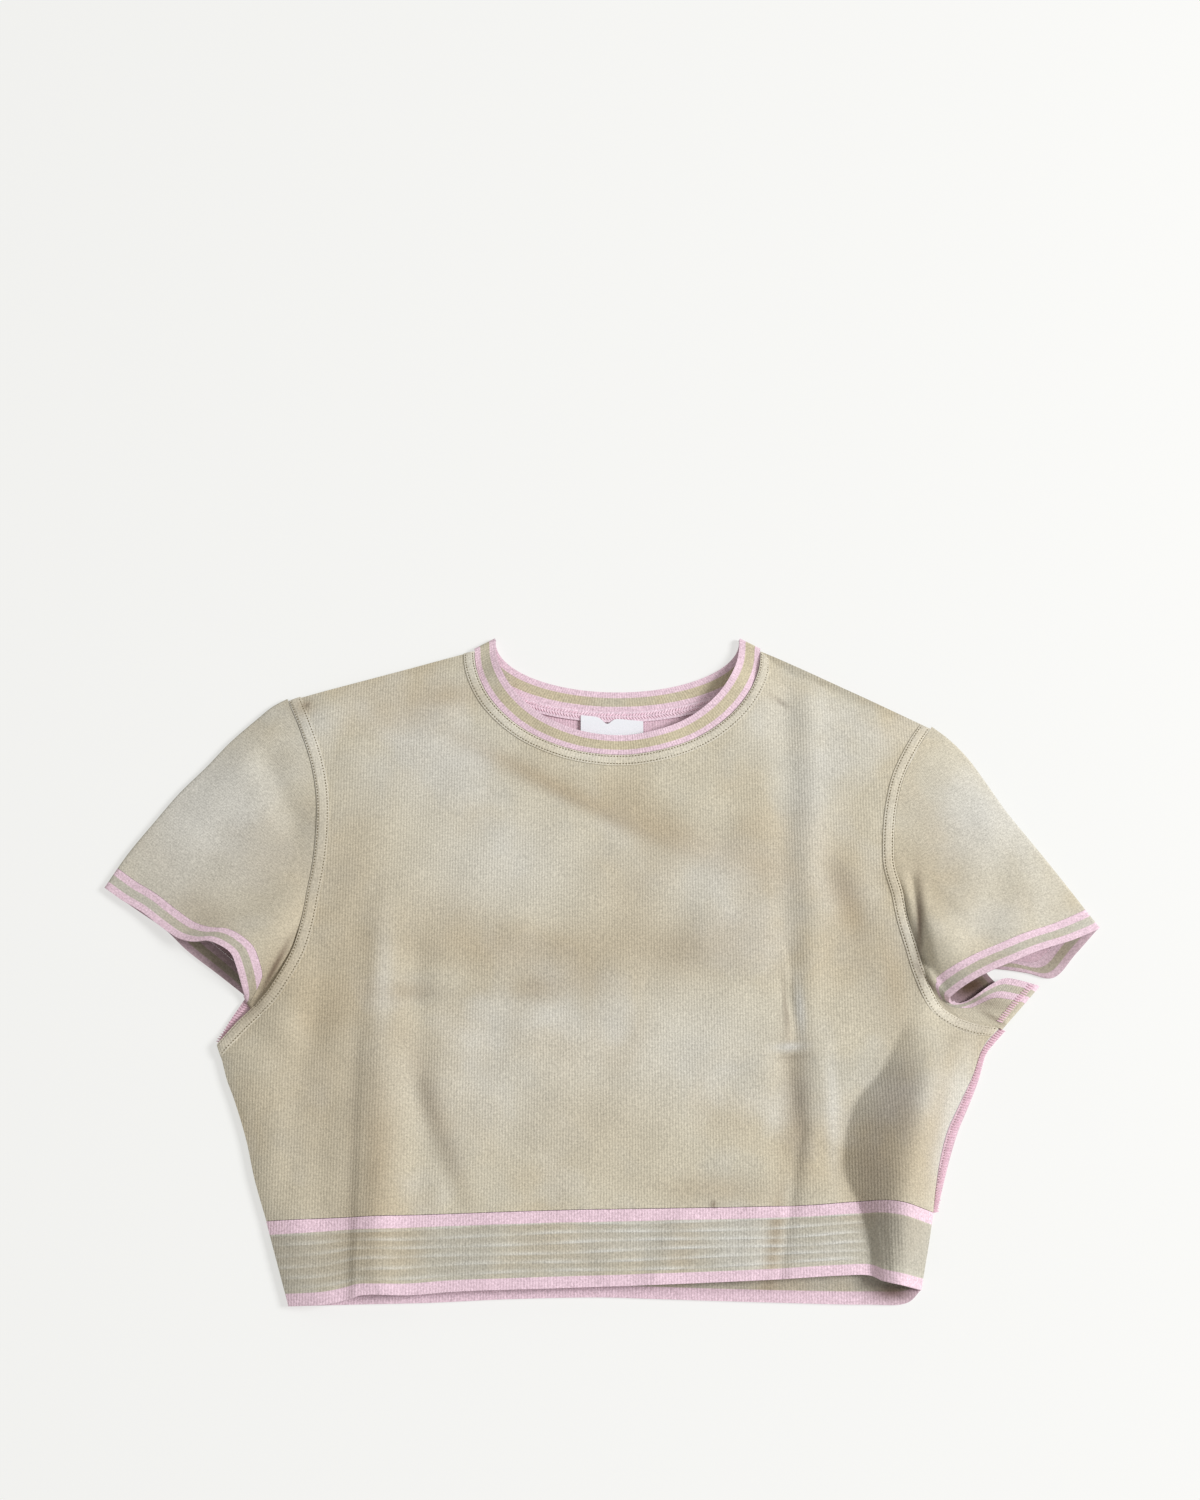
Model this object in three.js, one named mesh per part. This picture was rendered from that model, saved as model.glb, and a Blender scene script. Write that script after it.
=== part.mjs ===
// Short-sleeved knitted crop top, laid out on its back with its front up.
// Millimetres, +Z up, +Y towards the neck. The origin is under the middle of the garment.
import * as THREE from 'three';

// Cloth and seams
const CLOTH = 2.0;                            // wall of the heavy double-faced knit
const SEAM_GAP = 0.3;                         // open space between two sewn pieces
const SLANTED_GAP = 0.5;                      // the same, along lines that cross a seam aslant
const BACK_Z = CLOTH / 2;                     // middle of the layer that lies on the surface
const EDGE_Z = BACK_Z + CLOTH + SEAM_GAP;     // middle of the upper layer where it lies on the lower one
const FOLD_RADIUS = 1.3;                      // middle of the wall round a tube's folded edge
const TUBE_EDGE_Z = BACK_Z + 2 * FOLD_RADIUS;

// How the upper layer rises from its closed edges
const BODY_RISE = 5.6;
const ROUND_REACH = 27;

// Bands and trims
const CUFF_WIDTH = 14;
const CUFF_SHARE_MOST = 0.6;                  // of the sleeve, where the cuff runs into the underarm
const NECK_SEAM_WIDTH = 7;
const ARMHOLE_BAND_WIDTH = 8;
const BAND_THICK = 0.8;
const TAPE = { width: 7, thick: 0.8, from: 0.12, to: 0.88, steps: 16 };
const LABEL = { thick: 0.6, left: -12, right: 27, height: 14, topLeft: 156, topRight: 152, dipAt: 0.42,
  dip: 4, dipReach: 0.09, steps: 12 };
const RIDGES = { count: 6, rise: 0.5 };

// Neck: half ellipses, the front one deep and the back one shallow
const NECK_X = 11;
const NECK_SEAM = { y: 198, halfWidth: 90, frontDrop: 69, backDrop: 39.5 };
const NECK_EDGE = { y: 205, halfWidth: 77, frontDrop: 64, backDrop: 33.5 };
const NECKBAND_LIFT = 2.2;                    // the band's free edge stands over its seam by this much
const NECK_CORNER_SHARE = 0.13;               // of the ring, where it comes down to the folded corner
const AHEAD = 0.01;                           // share of the neckline over which its direction is read

// A short table: named columns, a row for each point, zone or fold
const table = (columns, rows) => rows.map((row) =>
  Object.fromEntries(columns.split(' ').map((name, i) => [name, row[i]])));

// Outline of the body
const SHOULDER_LEFT = table('x y', [[-79, 198], [-96, 194], [-118, 187], [-150, 179], [-174, 173],
  [-195, 165]]);
const SHOULDER_RIGHT = table('x y', [[101, 198], [108, 191], [122, 182], [139, 175], [165, 162], [183, 155],
  [206, 147]]);
const ARMHOLE_LEFT = table('x y', [[-195, 165], [-186, 144], [-179, 124], [-175, 104], [-174, 85],
  [-175, 64], [-178, 43], [-181, 24], [-185, 9], [-191, -4], [-199, -17], [-208, -27], [-218, -37],
  [-229, -50]]);
const ARMHOLE_RIGHT = table('x y', [[206, 147], [197, 133], [187, 113], [182, 93], [180, 75], [180, 58],
  [184, 42], [187, 24], [191, 9], [195, -6], [200, -19], [206, -28], [215, -34], [227, -38], [239, -40]]);
const SIDE_LEFT = table('x y', [[-229, -50], [-226, -58], [-222, -71], [-217, -83], [-209, -106],
  [-203, -129], [-195, -153]]);
const SIDE_RIGHT = table('x y', [[239, -40], [233, -46], [228, -53], [222, -68], [213, -85], [205, -101],
  [200, -118], [197, -134], [195, -148]]);
const HEM_SIDE_LEFT = table('x y', [[-195, -153], [-188, -176], [-180, -201]]);
const HEM_SIDE_RIGHT = table('x y', [[195, -148], [193, -169], [186, -192]]);

// Hem bands: the seam to the body and the free edge, on each layer
const HEM_SEAM_FRONT = table('x y', [[-195, -153], [-144, -151], [-84, -149], [-23, -147], [36, -146],
  [93, -145], [125, -144], [151, -142], [170, -142], [195, -148]]);
const HEM_EDGE_FRONT = table('x y', [[-180, -201], [-157, -200], [-144, -197], [-137, -195], [-110, -195],
  [-84, -193], [-23, -191], [36, -189], [105, -186], [138, -184], [157, -184], [163, -187], [176, -190],
  [186, -192]]);
const HEM_SEAM_BACK = table('x y', [[-195, -153], [-100, -152], [0, -150], [100, -151], [195, -148]]);
const HEM_EDGE_BACK = table('x y', [[-180, -201], [-143, -200], [-99, -199], [-54, -197], [0, -196],
  [36, -197], [105, -199], [154, -200], [178, -199], [186, -192]]);

// Sleeves: the fold along the top of the arm, and the cuff's free edge on each layer
const SLEEVE_TOP_LEFT = table('x y', [[-195, 165], [-204, 160], [-213, 152], [-229, 137], [-243, 121],
  [-259, 104], [-273, 86], [-288, 66], [-301, 45]]);
const SLEEVE_TOP_RIGHT = table('x y', [[206, 147], [216, 139], [227, 127], [237, 112], [249, 93], [266, 70],
  [282, 48], [294, 31], [302, 20]]);
const CUFF_UPPER_LEFT = table('x y z', [[-301, 45, 3.6], [-291, 38, 4], [-279, 31, 5], [-267, 22, 6],
  [-255, 14, 8], [-245, 11, 12], [-236, 11, 15], [-228, 8, 17], [-221, 3, 16.5], [-218, -4, 14],
  [-216, -12, 8.5], [-214, -20, 3.6]]);
const CUFF_LOWER_LEFT = table('x y z', [[-214, -20, 1], [-231, -7, 1], [-251, 8, 1], [-264, 20, 1],
  [-283, 33, 1], [-301, 45, 1]]);
const CUFF_UPPER_RIGHT = table('x y z', [[302, 20, 3.6], [293, 16, 5], [283, 12, 7], [265, 6, 11],
  [251, 0, 15], [235, -7, 18], [223, -13, 17], [215, -18, 13.5], [210, -22, 10.5]]);
const CUFF_FLAP_RIGHT = table('x y z', [[212, -24.5, 4.2], [217, -25, 4.2], [222, -23, 4.6], [228, -19, 4.8],
  [235, -14, 4.6], [244, -10, 4.2], [252, -11, 4], [263, -14, 3.6]]);
const CUFF_LOWER_RIGHT = table('x y z', [[263, -14, 1], [250, -16, 1], [240, -13, 1], [233, -4, 1],
  [244, -4, 1], [258, -6, 1], [274, -9, 1], [288, 5, 1], [302, 20, 1]]);

// Strips of each sleeve's ring: the armhole points that it runs between, counted from the shoulder, its free
// edge and its columns between two of those points. With a lag, the edge's first points lie closer together.
const SLEEVE_STRIPS = {
  left: [
    { layer: 'upper', from: 0, to: 14, edge: CUFF_UPPER_LEFT, split: 1 },
    { layer: 'lower', from: 14, to: 0, edge: CUFF_LOWER_LEFT, split: 1 },
  ],
  right: [
    { layer: 'upper', from: 0, to: 12, edge: CUFF_UPPER_RIGHT, split: 1 },
    { layer: 'flap', from: 13, to: 16, edge: CUFF_FLAP_RIGHT, split: 2, lag: 1.35 },
    { layer: 'lower', from: 16, to: 0, edge: CUFF_LOWER_RIGHT, split: 1 },
  ],
};

// Seam allowances that show outside the body: the outer edge of each
const ALLOWANCE_RIGHT = table('x y', [[241, -44], [237, -49], [232, -55], [227, -71], [221, -86],
  [214, -101], [208, -118], [203, -133], [198, -147]]);
const ALLOWANCE_LEFT = table('x y', [[-217, -26], [-222, -35], [-228, -47]]);

// Folds of the upper layer. A row runs from point 1 to point 2 with its rise at each end, and reaches as far
// as 'left' and 'right' of that direction. A trough has a negative rise.
const FOLDS = table('x1 y1 x2 y2 rise1 rise2 left right', [
  [-74, 119, 73, 75, -1.2, -1.6, 14, 14],        // slanting trough over the chest
  [-114, -12, 100, -16, -1.6, -1.2, 22, 22],     // broad dip under the bust
  [-133, 31, -128, -185, 1.6, 3.0, 12, 9],       // long ridge on the left
  [-169, 7, -164, -150, -1.4, -1.4, 11, 11],     // trough beside it
  [-110, 1, -105, -130, -1.8, -1.6, 9, 9],       // trough on its other side
  [-139, -30, -140, -198, 0.6, 2.6, 20, 4],      // sharp step down to the hem
  [-110, -77, -85, -141, -1.2, -1.2, 7, 7],      // short slanting crease
  [116, 171, 108, -141, -1.8, -1.6, 9, 9],       // long trough on the right
  [132, 165, 124, -120, 1.4, 1.2, 8, 8],         // ridge beside it
  [140, 55, 150, 30, -1.8, -1.8, 11, 11],        // soft dent at the bust
  [111, -15, 119, -51, -1.8, -1.2, 4, 4],        // small sharp crease
  [113, -53, 134, -53, 1.2, 1.2, 4, 4],          // little ridge across it
  [29, -194, 47, -150, 1.6, 0.8, 8, 8],          // streak in the hem band
  [-173, -36, -184, -130, -1.6, -1.4, 9, 9],     // drag line down the left side
  [-202, -30, -160, -71, 1.6, 0.6, 8, 8],        // pull from the left underarm
  [11, 118, 11, 122, -1.2, -1.2, 60, 60],        // the neck lies a little lower
]);

// Long folds that bend on their way down the right side: the crease where the roll begins, and the roll
const LONG_FOLDS = [
  table('x y rise left right', [[176, -45, -0.8, 8, 6], [167, -68, -2.2, 10, 6], [152, -84, -3.2, 14, 6],
    [144, -109, -3.8, 14, 5], [143, -127, -3.8, 14, 5], [152, -145, -3.6, 12, 5], [157, -164, -3.2, 9, 4],
    [158, -200, -3.0, 7, 4]]),
  table('x y rise left right', [[206, -42, 1.5, 12, 16], [199, -75, 6.0, 14, 20], [191, -112, 11.0, 16, 25],
    [184, -143, 11.0, 16, 23], [173, -168, 10.0, 16, 14], [169, -200, 9.5, 17, 11]]),
];
const SLEEVE_FOLDS = table('x1 y1 x2 y2 rise1 rise2 left right', [
  [-205, 123, -187, 84, -2.4, -2.0, 9, 9],       // dimple in the left sleeve
  [-184, 12, -204, -16, -3.0, -3.6, 12, 12],     // the left sleeve sinks beside the armhole
  [-262, 62, -228, 24, -1.0, 1.0, 12, 12],       // slant over the left sleeve
  [187, 44, 200, -8, -4.4, -4.0, 6, 6],          // valley between the right sleeve and the body
  [205, 20, 215, -8, 2.5, 3.0, 9, 9],            // the right sleeve bulges beside it
  [250, 70, 232, 18, -1.4, -1.6, 11, 11],        // soft trough down the right sleeve
]);

// Mesh steps: of the fans over the chest, and of the body's columns across, as zones of its width
const ARMHOLE_STEPS = { top: 11, low: 5 };
const FRONT_STEPS = { rings: 7, side: 9 };
const FRONT_COLUMNS = table('to steps', [[0.12, 4], [0.26, 5], [0.76, 11], [0.98, 9], [1, 0]]);
const BACK_STEPS = { rings: 3, side: 5 };
const BACK_COLUMNS = table('to steps', [[1, 12]]);
const CHEST_SHARE = 0.67;                     // of the armhole from the shoulder: the fans end level with it
const CHEST_NECK_SHARE = 0.3;                 // of the neckline that belongs to each armhole
const LEVEL_ENOUGH = 0.5;                     // cosine of the slope up to which an edge is cut upright
const HEM_COLUMNS = { back: 12, plain: 19, plainTo: 0.7, fold: 12 };
const SLEEVE_ROWS = 7;
const CUFF_ROWS = 2;
const NECKBAND_STEPS = { front: 24, back: 14, across: 2 };
const ALLOWANCE_STEPS = { right: 24, left: 4 };
const ALLOWANCE_STARTS = { right: 0.2, left: 14.45 };  // places on the back's own edge, clear of the sleeves
const LEFT_ALLOWANCE_END = 15.9;
const CURVE_DIVISIONS = 400;
const HALVINGS = 30;

const add = (a, b, share = 1) => a.map((value, i) => value + b[i] * share);
const mix = (a, b, t) => a + (b - a) * t;
const lerp = (a, b, t) => a.map((value, i) => mix(value, b[i], t));
const flatDistance = (a, b) => Math.hypot(a[0] - b[0], a[1] - b[1]);
const clamp01 = (value) => Math.min(1, Math.max(0, value));
const smooth = (t) => t * t * (3 - 2 * t);
const steps = (count) => Array.from({ length: count + 1 }, (_, i) => i / count);
const between = (from, to, count) => steps(count).map((t) => mix(from, to, t));

// Smooth curve through a table's points, read by its share of the length
function curve(rows) {
  const points = rows.map((p) => new THREE.Vector3(p.x, p.y, p.z ?? 0));
  const path = new THREE.CatmullRomCurve3(points, false, 'centripetal');
  path.arcLengthDivisions = CURVE_DIVISIONS;
  return (share) => path.getPointAt(clamp01(share)).toArray();
}

// Distance from a point to a line of points
function distanceTo(rows, x, y) {
  let nearest = Infinity;
  for (let i = 1; i < rows.length; i++) {
    const [a, b] = [rows[i - 1], rows[i]];
    const [dx, dy] = [b.x - a.x, b.y - a.y];
    const t = clamp01(((x - a.x) * dx + (y - a.y) * dy) / (dx * dx + dy * dy));
    nearest = Math.min(nearest, Math.hypot(x - a.x - dx * t, y - a.y - dy * t));
  }
  return nearest;
}

// Edges where the upper layer comes down on the lower one
const CLOSED_EDGES = [SHOULDER_LEFT, SLEEVE_TOP_LEFT, SIDE_LEFT, HEM_SIDE_LEFT, ARMHOLE_LEFT.slice(-3),
  SHOULDER_RIGHT, SLEEVE_TOP_RIGHT, SIDE_RIGHT, HEM_SIDE_RIGHT, ARMHOLE_RIGHT.slice(-4)];

function foldRise(fold, x, y) {
  const [dx, dy] = [fold.x2 - fold.x1, fold.y2 - fold.y1];
  const t = clamp01(((x - fold.x1) * dx + (y - fold.y1) * dy) / (dx * dx + dy * dy));
  const [offX, offY] = [x - fold.x1 - dx * t, y - fold.y1 - dy * t];
  const reach = dx * offY - dy * offX > 0 ? fold.left : fold.right;
  return mix(fold.rise1, fold.rise2, t) * Math.exp(-(offX ** 2 + offY ** 2) / reach ** 2);
}

// Rise of a fold that bends on its way: only its nearest stretch counts
function longFoldRise(bends, x, y) {
  let [nearest, rise] = [Infinity, 0];
  for (let i = 1; i < bends.length; i++) {
    const [a, b] = [bends[i - 1], bends[i]];
    const [dx, dy] = [b.x - a.x, b.y - a.y];
    const t = clamp01(((x - a.x) * dx + (y - a.y) * dy) / (dx * dx + dy * dy));
    const [offX, offY] = [x - a.x - dx * t, y - a.y - dy * t];
    const distance = Math.hypot(offX, offY);
    if (distance >= nearest) continue;
    const reach = dx * offY - dy * offX > 0 ? mix(a.left, b.left, t) : mix(a.right, b.right, t);
    nearest = distance;
    rise = mix(a.rise, b.rise, t) * Math.exp(-((distance / reach) ** 2));
  }
  return rise;
}

// Height of the middle of the upper layer over the surface
function layHeight([x, y], folds) {
  const edge = Math.min(...CLOSED_EDGES.map((rows) => distanceTo(rows, x, y)));
  const rounding = 1 - (1 - clamp01(edge / ROUND_REACH)) ** 2;
  const short = folds.reduce((sum, fold) => sum + foldRise(fold, x, y), BODY_RISE);
  const rise = LONG_FOLDS.reduce((sum, bends) => sum + longFoldRise(bends, x, y), short);
  return Math.max(EDGE_Z, EDGE_Z + rise * rounding);
}

const upper = ([x, y]) => [x, y, layHeight([x, y], FOLDS)];
const lower = ([x, y]) => [x, y, BACK_Z];

// Sheet of points and quads. Each quad keeps its row and column for the trims that are cut from it.
function sheet(rows, { ring = false, block = 'all' } = {}) {
  const quads = [];
  const width = rows[0].length;
  for (let row = 0; row + 1 < rows.length; row++) {
    for (let column = 0; column < (ring ? width : width - 1); column++) {
      const next = (column + 1) % width;
      const [near, far] = [row * width, (row + 1) * width];
      const corners = [near + column, near + next, far + next, far + column];
      quads.push({ corners, row, column, block });
    }
  }
  return { points: rows.flat(), quads };
}

// One sheet from several that share their edges' points
function welded(...sheets) {
  const places = new Map();
  const points = [];
  const quads = [];
  for (const part of sheets) {
    const index = part.points.map((point) => {
      const key = point.map((value) => value.toFixed(3)).join(' ');
      if (!places.has(key)) places.set(key, points.push(point) - 1);
      return places.get(key);
    });
    quads.push(...part.quads.map((quad) => ({ ...quad, corners: quad.corners.map((i) => index[i]) })));
  }
  return { points, quads };
}

// Edges that only one quad has
function openEdges(quads) {
  const open = new Map();
  for (const { corners: [a, b, c, d] } of quads) {
    for (const [from, to] of [[a, b], [b, c], [c, d], [d, a]]) {
      if (open.has(`${to} ${from}`)) open.delete(`${to} ${from}`);
      else open.set(`${from} ${to}`, [from, to]);
    }
  }
  return [...open.values()];
}

// Directions out of a sheet. Its open edges are cut upright, so that two sewn pieces meet squarely.
function pointNormals({ points, quads }) {
  const normals = points.map(() => new THREE.Vector3());
  for (const { corners } of quads) {
    const [a, b, c, d] = corners.map((i) => new THREE.Vector3(...points[i]));
    const face = c.sub(a).cross(d.sub(b));
    for (const i of corners) normals[i].add(face);
  }
  for (const normal of normals) normal.normalize();
  for (const i of openEdges(quads).flat()) {
    if (Math.abs(normals[i].z) > LEVEL_ENOUGH) normals[i].set(0, 0, Math.sign(normals[i].z));
  }
  return normals.map((n) => n.toArray());
}

// Closed wall: the sheet's points moved out to both sides, with a rim on each open edge
function wall(surface, thickness, { raise = () => 0, normals = pointNormals(surface) } = {}) {
  const count = surface.points.length;
  const outer = surface.points.map((p, i) => add(p, normals[i], thickness / 2 + raise(i)));
  const inner = surface.points.map((p, i) => add(p, normals[i], -thickness / 2));
  const index = [];
  for (const { corners: [a, b, c, d] } of surface.quads) {
    index.push(a, b, c, a, c, d);
    index.push(a + count, c + count, b + count, a + count, d + count, c + count);
  }
  for (const [from, to] of openEdges(surface.quads)) {
    index.push(to, from, from + count, to, from + count, to + count);
  }
  const geometry = new THREE.BufferGeometry();
  geometry.setAttribute('position', new THREE.Float32BufferAttribute([...outer, ...inner].flat(), 3));
  geometry.setIndex(index);
  geometry.computeVertexNormals();
  return geometry;
}

// A trim that lies on a sheet: some of its quads, moved out from it
function trimOn(surface, distance, keep) {
  const normals = pointNormals(surface);
  const quads = surface.quads.filter(keep);
  const used = [...new Set(quads.flatMap((quad) => quad.corners))];
  const place = new Map(used.map((old, i) => [old, i]));
  return {
    points: used.map((i) => add(surface.points[i], normals[i], distance)),
    quads: quads.map((quad) => ({ ...quad, corners: quad.corners.map((i) => place.get(i)) })),
  };
}

const BEIGE = '#c6bda6';
const BAND_BEIGE = '#bab49f';
const PINK = '#dfc4d3';
const WHITE = '#f1f0ee';
const garment = new THREE.Group();

function piece(name, geometry, color) {
  const material = new THREE.MeshStandardMaterial({ color, roughness: 0.95, metalness: 0 });
  const mesh = new THREE.Mesh(geometry, material);
  mesh.name = name;
  garment.add(mesh);
}

// Neckline point: share 0 is the left corner, 1 the right one
function neckPoint(shape, drop, share) {
  const angle = Math.PI * share;
  return [NECK_X - shape.halfWidth * Math.cos(angle), shape.y - drop * Math.sin(angle)];
}

// Points along a line with the armhole bands' width kept at its ends
function acrossBody(from, to, columns) {
  const length = flatDistance(from, to);
  const gap = SEAM_GAP / 2;
  const inside = (t) => ARMHOLE_BAND_WIDTH + (length - 2 * ARMHOLE_BAND_WIDTH) * t;
  let start = 0;
  const distances = [inside(0)];
  for (const zone of columns) {
    if (zone.steps > 0) distances.push(...between(start, zone.to, zone.steps).slice(1).map(inside));
    start = zone.to;
  }
  return [gap, ...distances, length - gap].map((distance) => lerp(from, to, distance / length));
}

// Point of a seam line at a given x
function seamPoint(seam, x) {
  let [low, high] = [0, 1];
  for (let halving = 0; halving < HALVINGS; halving++) {
    const middle = (low + high) / 2;
    if (seam(middle)[0] < x) low = middle;
    else high = middle;
  }
  return seam((low + high) / 2);
}

// Body panel in two blocks: rays from the neckline to the armholes and a chest line, and level rows below it
function panel(seamTable, drop, counts, columns, place) {
  const [left, right, sideLeft, sideRight] = [ARMHOLE_LEFT, ARMHOLE_RIGHT, SIDE_LEFT, SIDE_RIGHT].map(curve);
  const seam = curve(seamTable);
  const ends = (t) => (t <= 1
    ? [left, right].map((path) => path(CHEST_SHARE + (1 - CHEST_SHARE) * t))
    : [sideLeft, sideRight].map((path) => path(t - 1)));
  const levels = [...between(0, 1, ARMHOLE_STEPS.low), ...between(1, 2, counts.side).slice(1)];
  const rows = levels.map((t) => acrossBody(...ends(t), columns));
  rows.push(rows.pop().map(([x]) => [x, seamPoint(seam, x)[1] + SEAM_GAP / 2]));
  const body = sheet(rows.map((row) => row.map(place)).reverse(), { block: 'body' });

  const armShares = between(0, CHEST_SHARE, ARMHOLE_STEPS.top).slice(0, -1);
  const chest = rows[0];
  const outline = [...armShares.map(left), ...chest, ...armShares.map(right).reverse()];
  const neckShares = [...between(0, CHEST_NECK_SHARE, armShares.length).slice(0, -1),
    ...between(CHEST_NECK_SHARE, 1 - CHEST_NECK_SHARE, chest.length - 1),
    ...between(1 - CHEST_NECK_SHARE, 1, armShares.length).slice(1)];
  const rays = outline.map((outer, i) => {
    const onChest = i >= armShares.length && i < armShares.length + chest.length;
    const inner = neckPoint(NECK_SEAM, drop, neckShares[i]);
    const length = flatDistance(inner, outer);
    const end = length - (onChest ? 0 : SEAM_GAP / 2);
    const middle = between(NECK_SEAM_WIDTH, length - ARMHOLE_BAND_WIDTH, counts.rings);
    const distances = [SEAM_GAP / 2, ...middle, end];
    return distances.map((distance) => place(lerp(inner, outer, distance / length)));
  });
  return welded(body, sheet(rays, { block: 'yoke' }));
}

const front = panel(HEM_SEAM_FRONT, NECK_SEAM.frontDrop, FRONT_STEPS, FRONT_COLUMNS, upper);
piece('front_panel', wall(front, CLOTH), BEIGE);
const back = panel(HEM_SEAM_BACK, NECK_SEAM.backDrop, BACK_STEPS, BACK_COLUMNS, lower);
piece('back_panel', wall(back, CLOTH), BEIGE);

// Lapped seams lie on the front, cut from its own points: round the neckline and down both armholes
const onFront = CLOTH / 2 + SEAM_GAP + BAND_THICK / 2;
const lastRing = FRONT_STEPS.rings + 1;
const lastRay = Math.max(...front.quads.filter((q) => q.block === 'yoke').map((q) => q.row));
const lastColumn = Math.max(...front.quads.filter((q) => q.block === 'body').map((q) => q.column));
const lowRows = FRONT_STEPS.side;
const byArmhole = (quad, rayIsNear, column) => (quad.block === 'yoke'
  ? quad.column === lastRing && rayIsNear(quad.row)
  : quad.column === column && quad.row >= lowRows);
const bands = {
  neck_seam_band: (quad) => quad.block === 'yoke' && quad.column === 0,
  armhole_band_left: (quad) => byArmhole(quad, (ray) => ray <= ARMHOLE_STEPS.top, 0),
  armhole_band_right: (quad) => byArmhole(quad, (ray) => ray >= lastRay - ARMHOLE_STEPS.top, lastColumn),
};
for (const [name, keep] of Object.entries(bands)) {
  piece(name, wall(trimOn(front, onFront, keep), BAND_THICK), BEIGE);
}

// Hem bands, the front one with its tuck ridges raised on the outside
function hemBand(seamTable, edgeTable, columns, rowCount, place) {
  const [seam, edge] = [curve(seamTable), curve(edgeTable)];
  return sheet(between(0, 1, rowCount).map((v) => columns.map((u) => {
    const [bottom, top] = [edge(u), seam(u)];
    return place(lerp(bottom, top, v * (1 - SEAM_GAP / 2 / flatDistance(bottom, top))));
  })));
}

const hemRows = 2 * RIDGES.count + 3;
const hemShares = [...between(0, HEM_COLUMNS.plainTo, HEM_COLUMNS.plain).slice(0, -1),
  ...between(HEM_COLUMNS.plainTo, 1, HEM_COLUMNS.fold)];
const hemFront = hemBand(HEM_SEAM_FRONT, HEM_EDGE_FRONT, hemShares, hemRows, upper);
const ridgeRise = (i) => {
  const row = Math.floor(i / hemShares.length);
  return row > 1 && row < hemRows - 1 && row % 2 === 1 ? RIDGES.rise : 0;
};
piece('hem_band_front', wall(hemFront, CLOTH, { raise: ridgeRise }), BAND_BEIGE);
const hemBack = hemBand(HEM_SEAM_BACK, HEM_EDGE_BACK, steps(HEM_COLUMNS.back), 2, lower);
piece('hem_band_back', wall(hemBack, CLOTH), BAND_BEIGE);

// A ring's folded edge: the point half-way round, outside both layers
function foldPoint(before, after, inward) {
  const middle = lerp(before, after, 0.5);
  const reach = flatDistance(middle, inward);
  const out = [(middle[0] - inward[0]) / reach, (middle[1] - inward[1]) / reach, 0];
  return add(middle, out, Math.min(FOLD_RADIUS, Math.abs(before[2] - after[2]) / 2));
}

// Armhole points that the panels share with the sleeves, and a point between two such points
const ARMHOLE_SHARES = [...between(0, CHEST_SHARE, ARMHOLE_STEPS.top),
  ...between(CHEST_SHARE, 1, ARMHOLE_STEPS.low).slice(1)];

function chordPoint(path, shares, place) {
  const [before, part] = [Math.floor(place), place - Math.floor(place)];
  const start = path(shares[before]);
  return part > 0 ? lerp(start, path(shares[before + 1]), part) : start;
}

// Sleeve and cuff share one ring of columns from the armhole to the cuff's free edge
function sleeveColumns(strips, armholeTable, topTable) {
  const [armhole, top] = [armholeTable, topTable].map(curve);
  return strips.flatMap((strip) => {
    const edge = curve(strip.edge);
    const count = Math.abs(strip.to - strip.from) * strip.split;
    return steps(count).map((t) => {
      const start = chordPoint(armhole, ARMHOLE_SHARES, mix(strip.from, strip.to, t));
      const end = edge(t ** (strip.lag ?? 1));
      const length = flatDistance(start, end);
      const nearTop = strip.layer === 'flap' ? 0 : (1 - (strip.layer === 'upper' ? t : 1 - t)) ** 2;
      const cuffAt = 1 - Math.min(CUFF_WIDTH / length, CUFF_SHARE_MOST);
      const at = (s) => {
        const straight = lerp(start, end, s);
        const bulge = add(top(s), lerp(top(0), top(1), s), -1);
        return sleevePoint(strip.layer, add(straight, bulge, nearTop), s, start, end);
      };
      return { at, length, cuffAt };
    });
  });
}

const sleeveHeight = (point) => Math.max(TUBE_EDGE_Z, layHeight(point, [...FOLDS, ...SLEEVE_FOLDS]));

function sleevePoint(layer, point, s, start, end) {
  const [x, y] = point;
  if (layer === 'lower') return [x, y, BACK_Z];
  if (layer === 'flap') return [x, y, Math.max(TUBE_EDGE_Z, mix(sleeveHeight(start), end[2], s))];
  const lift = (end[2] - sleeveHeight(end)) * smooth(s);
  return [x, y, Math.max(TUBE_EDGE_Z, sleeveHeight(point) + lift)];
}

// One row of a sleeve's ring: its columns, with a folded edge after each strip
function sleeveRing(strips, columns, shareOf) {
  const row = columns.map((column) => column.at(shareOf(column)));
  const ring = [];
  let start = 0;
  for (const strip of strips) {
    const end = start + Math.abs(strip.to - strip.from) * strip.split;
    const next = (end + 1) % row.length;
    const inward = lerp(row[end - 1], row[(next + 1) % row.length], 0.5);
    ring.push(...row.slice(start, end + 1), foldPoint(row[end], row[next], inward));
    start = end + 1;
  }
  return ring;
}

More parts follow.
